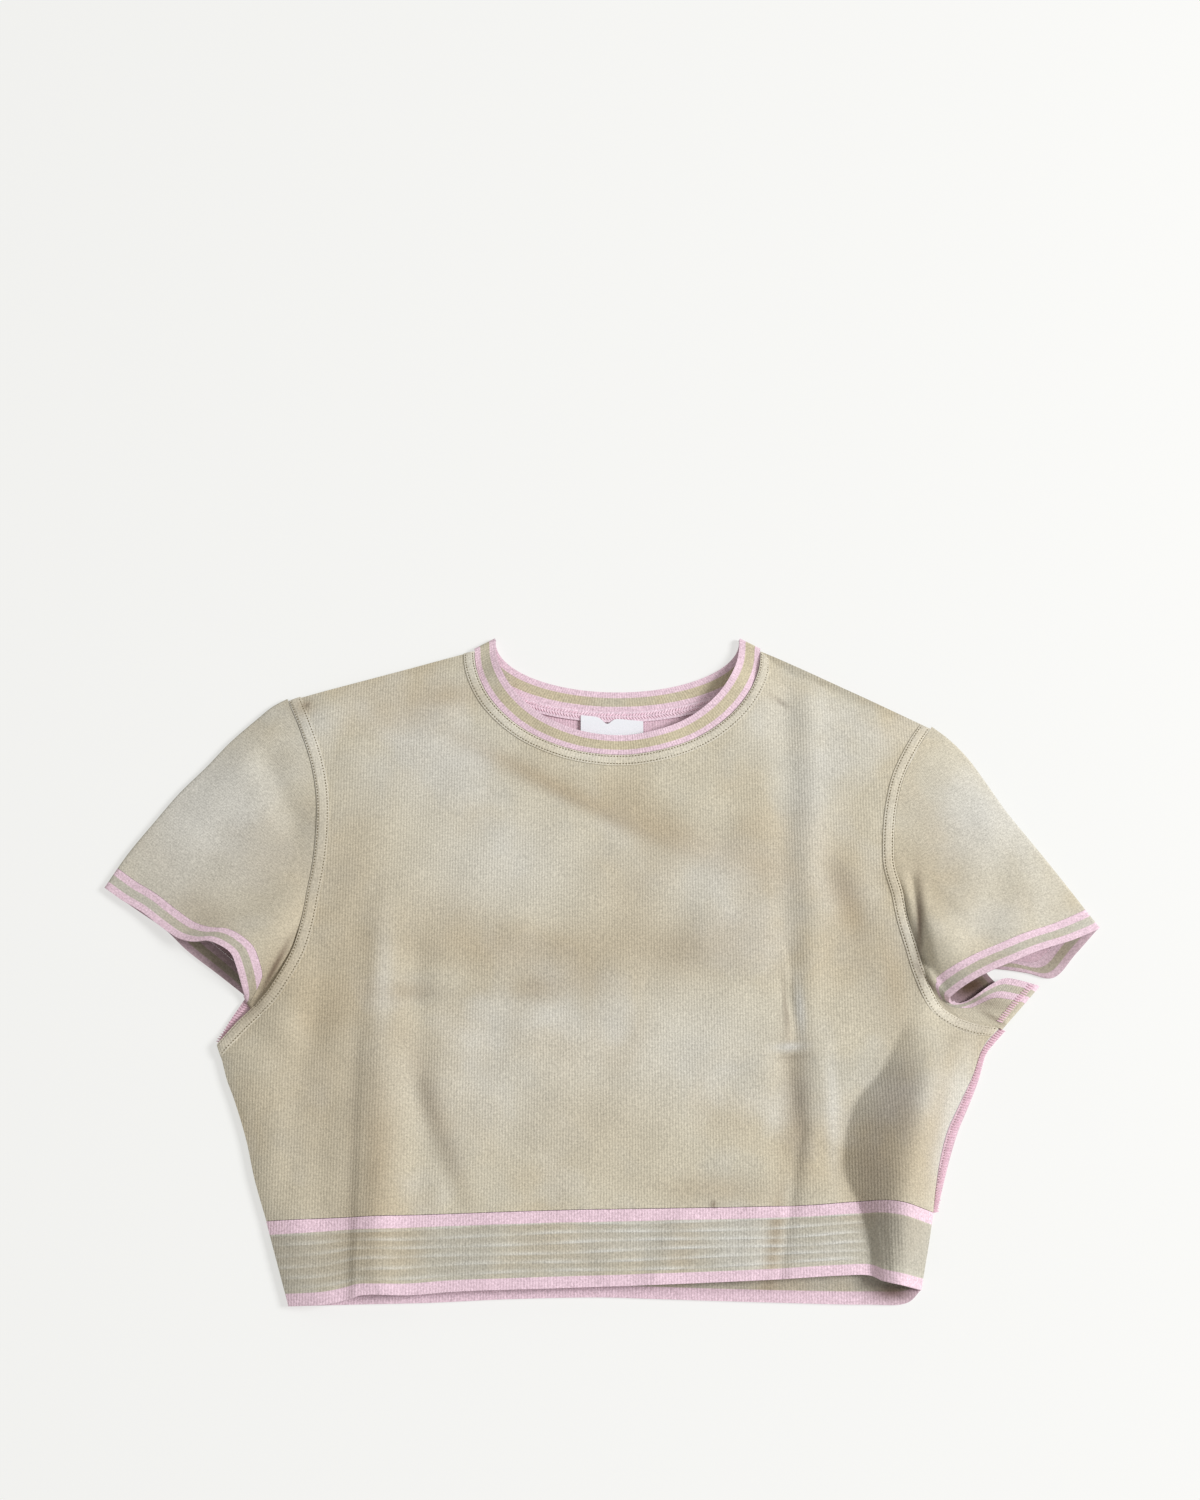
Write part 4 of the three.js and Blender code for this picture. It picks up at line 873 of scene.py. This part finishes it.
# The neckband is a ring of the striped edging, doubled, 13 mm wide. It stands a little over the front's edge,
# comes down to a folded corner at each shoulder and lies flat along the back.
NECKBAND_WIDTH = 13
NECKBAND_PINK = {"edge": 4.0, "seam": 3.3}
NECKBAND_LIFT = 2.2
NECK_CORNER_SHARE = 0.13
NECKBAND_STEPS = {"front": 120, "back": 70, "across": 10}
NECKBAND_BEIGE = "#c7bca0"
NECKBAND_STRIPES = [(0, 1), (NECKBAND_PINK["edge"], 0), (NECKBAND_WIDTH - NECKBAND_PINK["seam"], 1)]
neckband_knit = knit("striped_neckband_knit", NECKBAND_BEIGE, NECKBAND_STRIPES, NECKBAND_WIDTH)
w = np.linspace(SEAM_GAP / 2 / NECKBAND_WIDTH, 1, NECKBAND_STEPS["across"] + 1)[:, None]
neck_shape = Neckline(*(mix(seam, edge, w) for seam, edge in zip(NECK_SEAM, NECK_EDGE)))
share = np.linspace(0, 1, NECKBAND_STEPS["front"] + 1)
neck_front = neck_point(neck_shape, neck_shape.front_drop, share)
seam_z = lay_height(neck_point(NECK_SEAM, NECK_SEAM.front_drop, share), FOLDS)
standing = smooth(np.clip(np.minimum(share, 1 - share) / NECK_CORNER_SHARE, 0, 1))
neck_z = np.maximum(TUBE_EDGE_Z, mix(TUBE_EDGE_Z, seam_z + NECKBAND_LIFT * w, standing))
neck_front = np.concatenate([neck_front, neck_z[..., None]], -1)
back_share = np.linspace(1, 0, NECKBAND_STEPS["back"] + 1)
neck_back = flat_lower(neck_point(neck_shape, neck_shape.back_drop, back_share))
corner_right = rounded_turn(neck_front[:, -1], neck_back[:, 0], neck_front[:, -5])
corner_left = rounded_turn(neck_back[:, -1], neck_front[:, 0], neck_front[:, 4])
neck_points = np.concatenate([neck_front, corner_right, neck_back, corner_left], 1)
around = np.cumsum(np.linalg.norm(np.diff(neck_points[0], axis=0, prepend=neck_points[0, :1]), axis=1))
neck_uv = np.stack(np.broadcast_arrays(around[None], (1 - w) * NECKBAND_WIDTH), -1)
neck_sheet = grid(neck_points, neck_uv, True)
neckband = cloth_piece("neckband_cloth", neck_sheet, [neckband_knit])
declare(neckband, "neckband")

# Lapped seams: the front's edge is turned over the seam and stitched down at the neckline and both armholes.
# Each shows as a flat raised band of the same knit, 7 or 8 mm wide, with soft edges and two rows of stitches.
# The thread is polyester of a darker beige, which sinks into the nap and shows as small dark dashes.
LAP = {"thick": 0.8, "clear": 0.05, "steps": 16, "along": 220, "end_share": 0.09, "edge_sink": 0.5,
       "stitch_dent": 0.28, "dent_reach": 0.55}
LAP_BEIGE = "#d5cebc"
lapped_knit = knit("lapped_beige_knit", LAP_BEIGE, relief=0.8)
Sewing = namedtuple("Sewing", "pitch length width turn dark light")
TOPSTITCH = Sewing(1.9, 1.25, 0.7, 0.0, "#5f553f", "#8a7e64")
STITCH_INSET = 1.2
STITCH_SEED = 7
THREAD_RISE = 0.1
THREAD_PATCH = 2.3


def sewing_thread(name, sewing):
    """Spun polyester thread, matt, its colour uneven from stitch to stitch."""
    material, tree, shader = new_material(name, 0.7)
    place = add_node(tree, "ShaderNodeTexCoord", out="Object")
    uneven = add_node(tree, "ShaderNodeTexNoise", {"Vector": place, "Scale": 1 / THREAD_PATCH / MM,
                                                   "Detail": 1.0}, "Fac")
    color = add_node(tree, "ShaderNodeMix", {"Factor": uneven, 6: linear(sewing.dark),
                                             7: linear(sewing.light)}, 2, data_type="RGBA")
    tree.links.new(color, shader.inputs["Base Color"])
    shader.inputs["Specular IOR Level"].default_value = 0.2
    return material


topstitch_thread = sewing_thread("polyester_topstitch_thread", TOPSTITCH)

Lap = namedtuple("Lap", "node outline width side start_way end_way cut")
LAPS = [
    Lap("neck_seam_band", neck_point(NECK_SEAM, NECK_SEAM.front_drop, np.linspace(0, 1, LAP["along"])), 7, 1,
        (-17, -4), (7, -7), (0.29, 0.010)),
    Lap("armhole_band_left", curve(ARMHOLE_LEFT)(np.linspace(0, 1, LAP["along"]))[:, :2], 8, -1,
        (21, 8), (3, -8), (0.27, 0.010)),
    Lap("armhole_band_right", curve(ARMHOLE_RIGHT)(np.linspace(0, 1, LAP["along"]))[:, :2], 7, 1,
        (-23, 8), (-6, -6), (0.25, 0.010)),
]


def unit(vectors):
    return vectors / np.linalg.norm(vectors, axis=-1, keepdims=True)


def lap_ways(lap):
    """The way across a lap at each point of its outline. At its ends it follows the garment's own edge."""
    ahead = np.gradient(lap.outline, axis=0)
    ways = unit(np.stack([ahead[:, 1], -ahead[:, 0]], -1)) * lap.side
    share = np.linspace(0, 1, len(ways))[:, None]
    for near, way in ((share, lap.start_way), (1 - share, lap.end_way)):
        ways = mix(unit(np.array(way, float)), ways, smooth(np.clip(near / LAP["end_share"], 0, 1)))
    return unit(ways)


def along_and_across(lines):
    """Distances along and across a strip, from its lines of points."""
    along = np.cumsum(np.linalg.norm(np.diff(lines[:, 0], axis=0, prepend=lines[:1, 0]), axis=1))
    across = np.linalg.norm(lines - lines[:, :1], axis=-1)
    return np.stack([np.broadcast_to(along[:, None], across.shape), across], -1)


def facing_up(sheet):
    return sheet if point_normals(sheet)[:, 2].mean() > 0 else sheet._replace(quads=sheet.quads[:, ::-1])


def stitch_tree():
    """Threads laid along lines: one every Pitch, each turned by Turn, and uneven in length."""
    tree = bpy.data.node_groups.new("threads_along_lines", "GeometryNodeTree")
    tree.is_modifier = True
    tree.interface.new_socket("Lines", in_out="INPUT", socket_type="NodeSocketGeometry")
    for name in ("Pitch", "Length", "Width", "Turn"):
        tree.interface.new_socket(name, in_out="INPUT", socket_type="NodeSocketFloat")
    tree.interface.new_socket("Seed", in_out="INPUT", socket_type="NodeSocketInt")
    tree.interface.new_socket("Thread", in_out="INPUT", socket_type="NodeSocketMaterial")
    tree.interface.new_socket("Threads", in_out="OUTPUT", socket_type="NodeSocketGeometry")
    given = add_node(tree, "NodeGroupInput").node.outputs
    lines = add_node(tree, "GeometryNodeMeshToCurve", {"Mesh": given["Lines"]})
    places = add_node(tree, "GeometryNodeResampleCurve", {"Curve": lines, "Length": given["Pitch"]},
                      mode="LENGTH")
    ahead = add_node(tree, "GeometryNodeInputTangent")
    along = add_node(tree, "FunctionNodeAlignRotationToVector", {"Vector": ahead}, axis="X", pivot_axis="Z")
    spin = add_node(tree, "ShaderNodeCombineXYZ", {"Z": given["Turn"]})
    spin = add_node(tree, "FunctionNodeEulerToRotation", {0: spin})
    turned = add_node(tree, "FunctionNodeRotateRotation", {"Rotation": along, "Rotate By": spin},
                      rotation_space="LOCAL")
    uneven = add_node(tree, "FunctionNodeRandomValue", {2: 0.85, 3: 1.15, "Seed": given["Seed"]}, 1)
    length = add_node(tree, "ShaderNodeMath", {0: given["Length"], 1: uneven}, operation="MULTIPLY")
    size = add_node(tree, "ShaderNodeCombineXYZ", {"X": length, "Y": given["Width"], "Z": given["Width"]})
    thread = add_node(tree, "GeometryNodeMeshUVSphere", {"Segments": 8, "Rings": 5, "Radius": 0.5})
    threads = add_node(tree, "GeometryNodeInstanceOnPoints", {"Points": places, "Instance": thread,
                                                              "Rotation": turned, "Scale": size})
    threads = add_node(tree, "GeometryNodeRealizeInstances", {0: threads})
    threads = add_node(tree, "GeometryNodeSetMaterial", {"Geometry": threads, "Material": given["Thread"]})
    add_node(tree, "NodeGroupOutput", {0: threads})
    return tree


threads_along_lines = stitch_tree()


def stitch(name, lines, thread, sewing):
    """A piece of threads along lines of points in millimetres."""
    starts = np.cumsum([0] + [len(line) for line in lines])
    edges = [(start + i, start + i + 1) for start, line in zip(starts, lines) for i in range(len(line) - 1)]
    mesh = bpy.data.meshes.new(name)
    mesh.from_pydata(np.vstack(lines) * MM, edges, [])
    piece = bpy.data.objects.new(name, mesh)
    bpy.context.scene.collection.objects.link(piece)
    modifier = piece.modifiers.new("threads", "NODES")
    modifier.node_group = threads_along_lines
    values = {"Pitch": sewing.pitch * MM, "Length": sewing.length * MM, "Width": sewing.width * MM,
              "Turn": sewing.turn, "Seed": STITCH_SEED, "Thread": thread}
    for item in threads_along_lines.interface.items_tree:
        if item.name in values:
            modifier[item.identifier] = values[item.name]
    bpy.context.view_layer.update()
    evaluated = piece.evaluated_get(bpy.context.evaluated_depsgraph_get())
    finished = bpy.data.meshes.new_from_object(evaluated)
    piece.modifiers.clear()
    piece.data = finished
    finished.polygons.foreach_set("use_smooth", np.ones(len(finished.polygons), bool))
    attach(piece, "root")


for lap in LAPS:
    ways = lap_ways(lap)
    distances = np.linspace(SEAM_GAP / 2, lap.width, LAP["steps"] + 1)
    lap_lines = raised(lap.outline[:, None] + ways[:, None] * distances[:, None])
    band_uv = along_and_across(lap_lines)
    seams = [STITCH_INSET, lap.width - STITCH_INSET]
    dents = sum(np.exp(-((band_uv[..., 1] - seam) / LAP["dent_reach"]) ** 2) for seam in seams)
    sunk = LAP["edge_sink"] * (2 * band_uv[..., 1] / lap.width - 1) ** 8 + LAP["stitch_dent"] * dents
    lift = CLOTH / 2 + LAP["clear"] + LAP["thick"] / 2
    band_sheet = facing_up(grid(lap_lines, band_uv))
    band = cloth_piece(lap.node + "_cloth", band_sheet, [lapped_knit], LAP["thick"], lift, -sunk.ravel())
    declare(band, lap.node)
    thread_z = np.array([0, 0, lift + LAP["thick"] / 2 - LAP["stitch_dent"]])
    rows = [raised(lap.outline + ways * seam)[2:-2] + thread_z for seam in seams]
    stitch(lap.node + "_topstitch", rows, topstitch_thread, TOPSTITCH)

# Inside the back neck a pink overlocked tape covers the seam, with a plain white woven label sewn over it.
# The label is a folded strip with its hanging loop pulled down, so its top edge dips. It carries no print.
TAPE = {"width": 7, "thick": 0.8, "from": 0.12, "to": 0.88, "steps": 80, "step_length": 2.0, "across": 7}
CHAIN = Sewing(1.8, 2.7, 0.75, 0.85, "#d9a9b9", "#f3dfe7")
CHAIN_BACK = CHAIN._replace(turn=-CHAIN.turn)
LABEL = {"thick": 0.6, "left": -12, "right": 27, "height": 14, "top_left": 156, "top_right": 152,
         "dip_at": 0.42, "dip": 4, "dip_reach": 0.09, "steps": 40, "rows": 12}
WEFT = 0.7
WHITE = "#f4f5f8"
WHITE_DIM = "#dfe1e6"
INSIDE_BACK_Z = BACK_Z + CLOTH / 2 + SEAM_GAP
tape_knit = knit("overlocked_tape", PINK_PALE, worn_and_shaded=False)
shares = np.linspace(TAPE["from"], TAPE["to"], TAPE["steps"] + 1)
tape_line = neck_point(NECK_SEAM, NECK_SEAM.back_drop, shares)
ahead = unit(np.gradient(tape_line, axis=0))
inward = np.stack([ahead[:, 1], -ahead[:, 0]], -1)
distances = np.linspace(TAPE["width"], SEAM_GAP / 2, TAPE["across"])[:, None, None]
tape_points = tape_line + inward * distances
tape_z = np.full(tape_points.shape[:2] + (1,), INSIDE_BACK_Z + TAPE["thick"] / 2)
tape_along = np.arange(len(shares)) * TAPE["step_length"]
tape_uv = np.stack(np.broadcast_arrays(tape_along[None], distances[..., 0]), -1)
tape_sheet = grid(np.concatenate([tape_points, tape_z], -1), tape_uv)
tape = cloth_piece("neck_tape_cloth", tape_sheet, [tape_knit], TAPE["thick"])
declare(tape, "neck_tape")
chain_thread = sewing_thread("polyester_chain_stitch_thread", CHAIN)
for place, sewing in ((2.1, CHAIN), (4.6, CHAIN_BACK)):
    chain_z = np.full(len(tape_line), INSIDE_BACK_Z + TAPE["thick"] + THREAD_RISE)
    line = np.column_stack([tape_line + inward * place, chain_z])
    stitch(f"neck_tape_chevrons_{place}", [line], chain_thread, sewing)

woven_white, tree, shader = new_material("plain_woven_satin_tape", 0.55)
uv = add_node(tree, "ShaderNodeUVMap", uv_map="cloth")
weft = add_node(tree, "ShaderNodeTexWave", {"Vector": uv, "Scale": wave_scale(WEFT)}, "Fac",
                bands_direction="Y")
bump = add_node(tree, "ShaderNodeBump", {"Height": weft, "Strength": 0.3, "Distance": 0.1 * MM})
tree.links.new(bump, shader.inputs["Normal"])
shade = add_node(tree, "ShaderNodeMix", {"Factor": weft, 6: linear(WHITE_DIM), 7: linear(WHITE)}, 2,
                 data_type="RGBA")
tree.links.new(shade, shader.inputs["Base Color"])
label_z = INSIDE_BACK_Z + TAPE["thick"] + SEAM_GAP + LABEL["thick"] / 2
v, u = np.meshgrid(np.linspace(0, 1, LABEL["rows"] + 1), np.linspace(0, 1, LABEL["steps"] + 1), indexing="ij")
label_top = mix(LABEL["top_left"], LABEL["top_right"], u)
dip = LABEL["dip"] * np.exp(-((u - LABEL["dip_at"]) / LABEL["dip_reach"]) ** 2)
label_x = mix(LABEL["left"], LABEL["right"], u)
label_y = label_top - dip - LABEL["height"] * (1 - v)
label_points = np.stack([label_x, label_y, np.full_like(u, label_z)], -1)
label_sheet = grid(label_points, np.stack([label_x, label_y], -1))
label = cloth_piece("label_tape", label_sheet, [woven_white], LABEL["thick"])
declare(label, "label")

# At the right side the seam's overlocked edge lies open beside the body, from the underarm to the hem band.
# At the left underarm a small corner of the same edge peeps out between the cuff and the body.
ALLOWANCE_RIGHT = [(243, -41.5), (236.5, -48.5), (231, -55), (225.5, -71), (219, -86), (212, -101),
                   (206, -118), (201.5, -133), (197.5, -147)]
ALLOWANCE_LEFT = [(-213.5, -21.5), (-217, -27), (-222, -35), (-228, -47)]
ALLOWANCE_GAP = 0.12  # share of a strip's width that its seam takes up
ALLOWANCE_WIDTH = 6
ALLOWANCE_ROWS = 5
OVERLOCK = Sewing(1.6, 4.4, 1.0, -1.15, "#cf9fb2", "#efd3dd")
OVERLOCK_AT = 0.58
FLAP_EDGE = [(259.5, -14.5), (249, -25), (239.5, -36)]
FLAP_STEPS = 30
FLAP_TOP_Z = 4.75
overlock_thread = sewing_thread("polyester_overlock_thread", OVERLOCK)
overlock_knit = knit("overlocked_pink_edge", PINK, worn_and_shaded=False)
Allowance = namedtuple("Allowance", "node seam start end steps outer cut")
ALLOWANCES = [
    Allowance("side_seam_right", SIDE_RIGHT, 0.005, 1, 97, ALLOWANCE_RIGHT, (0.12, 0.010)),
    Allowance("underarm_left", ARMHOLE_LEFT, 0.875, 0.993, 25, ALLOWANCE_LEFT, (0.017, 0.010)),
]
for strip in ALLOWANCES:
    near = curve(strip.seam)(np.linspace(strip.start, strip.end, strip.steps))
    far = curve(strip.outer)(np.linspace(0, 1, strip.steps))
    across = np.linspace(0, 1, ALLOWANCE_ROWS)
    points = flat_lower(mix(near, far, mix(ALLOWANCE_GAP, 1, across)[:, None, None]))
    along = np.cumsum(np.linalg.norm(np.diff(near, axis=0, prepend=near[:1]), axis=1))
    uv = np.stack(np.broadcast_arrays(along[None], ALLOWANCE_WIDTH * across[:, None]), -1)
    edge_sheet = facing_up(grid(points, uv))
    edge_piece = cloth_piece(strip.node + "_cloth", edge_sheet, [overlock_knit])
    declare(edge_piece, strip.node)
    thread_z = np.full(strip.steps, 2 * BACK_Z + THREAD_RISE)
    middle = np.column_stack([mix(near, far, OVERLOCK_AT)[:, :2], thread_z])
    stitch(strip.node + "_overlock", [middle], overlock_thread, OVERLOCK)
flap_edge = curve(FLAP_EDGE)(np.linspace(0, 1, FLAP_STEPS))
flap_edge[:, 2] = FLAP_TOP_Z
stitch("sleeve_seam_overlock", [flap_edge], overlock_thread, OVERLOCK)
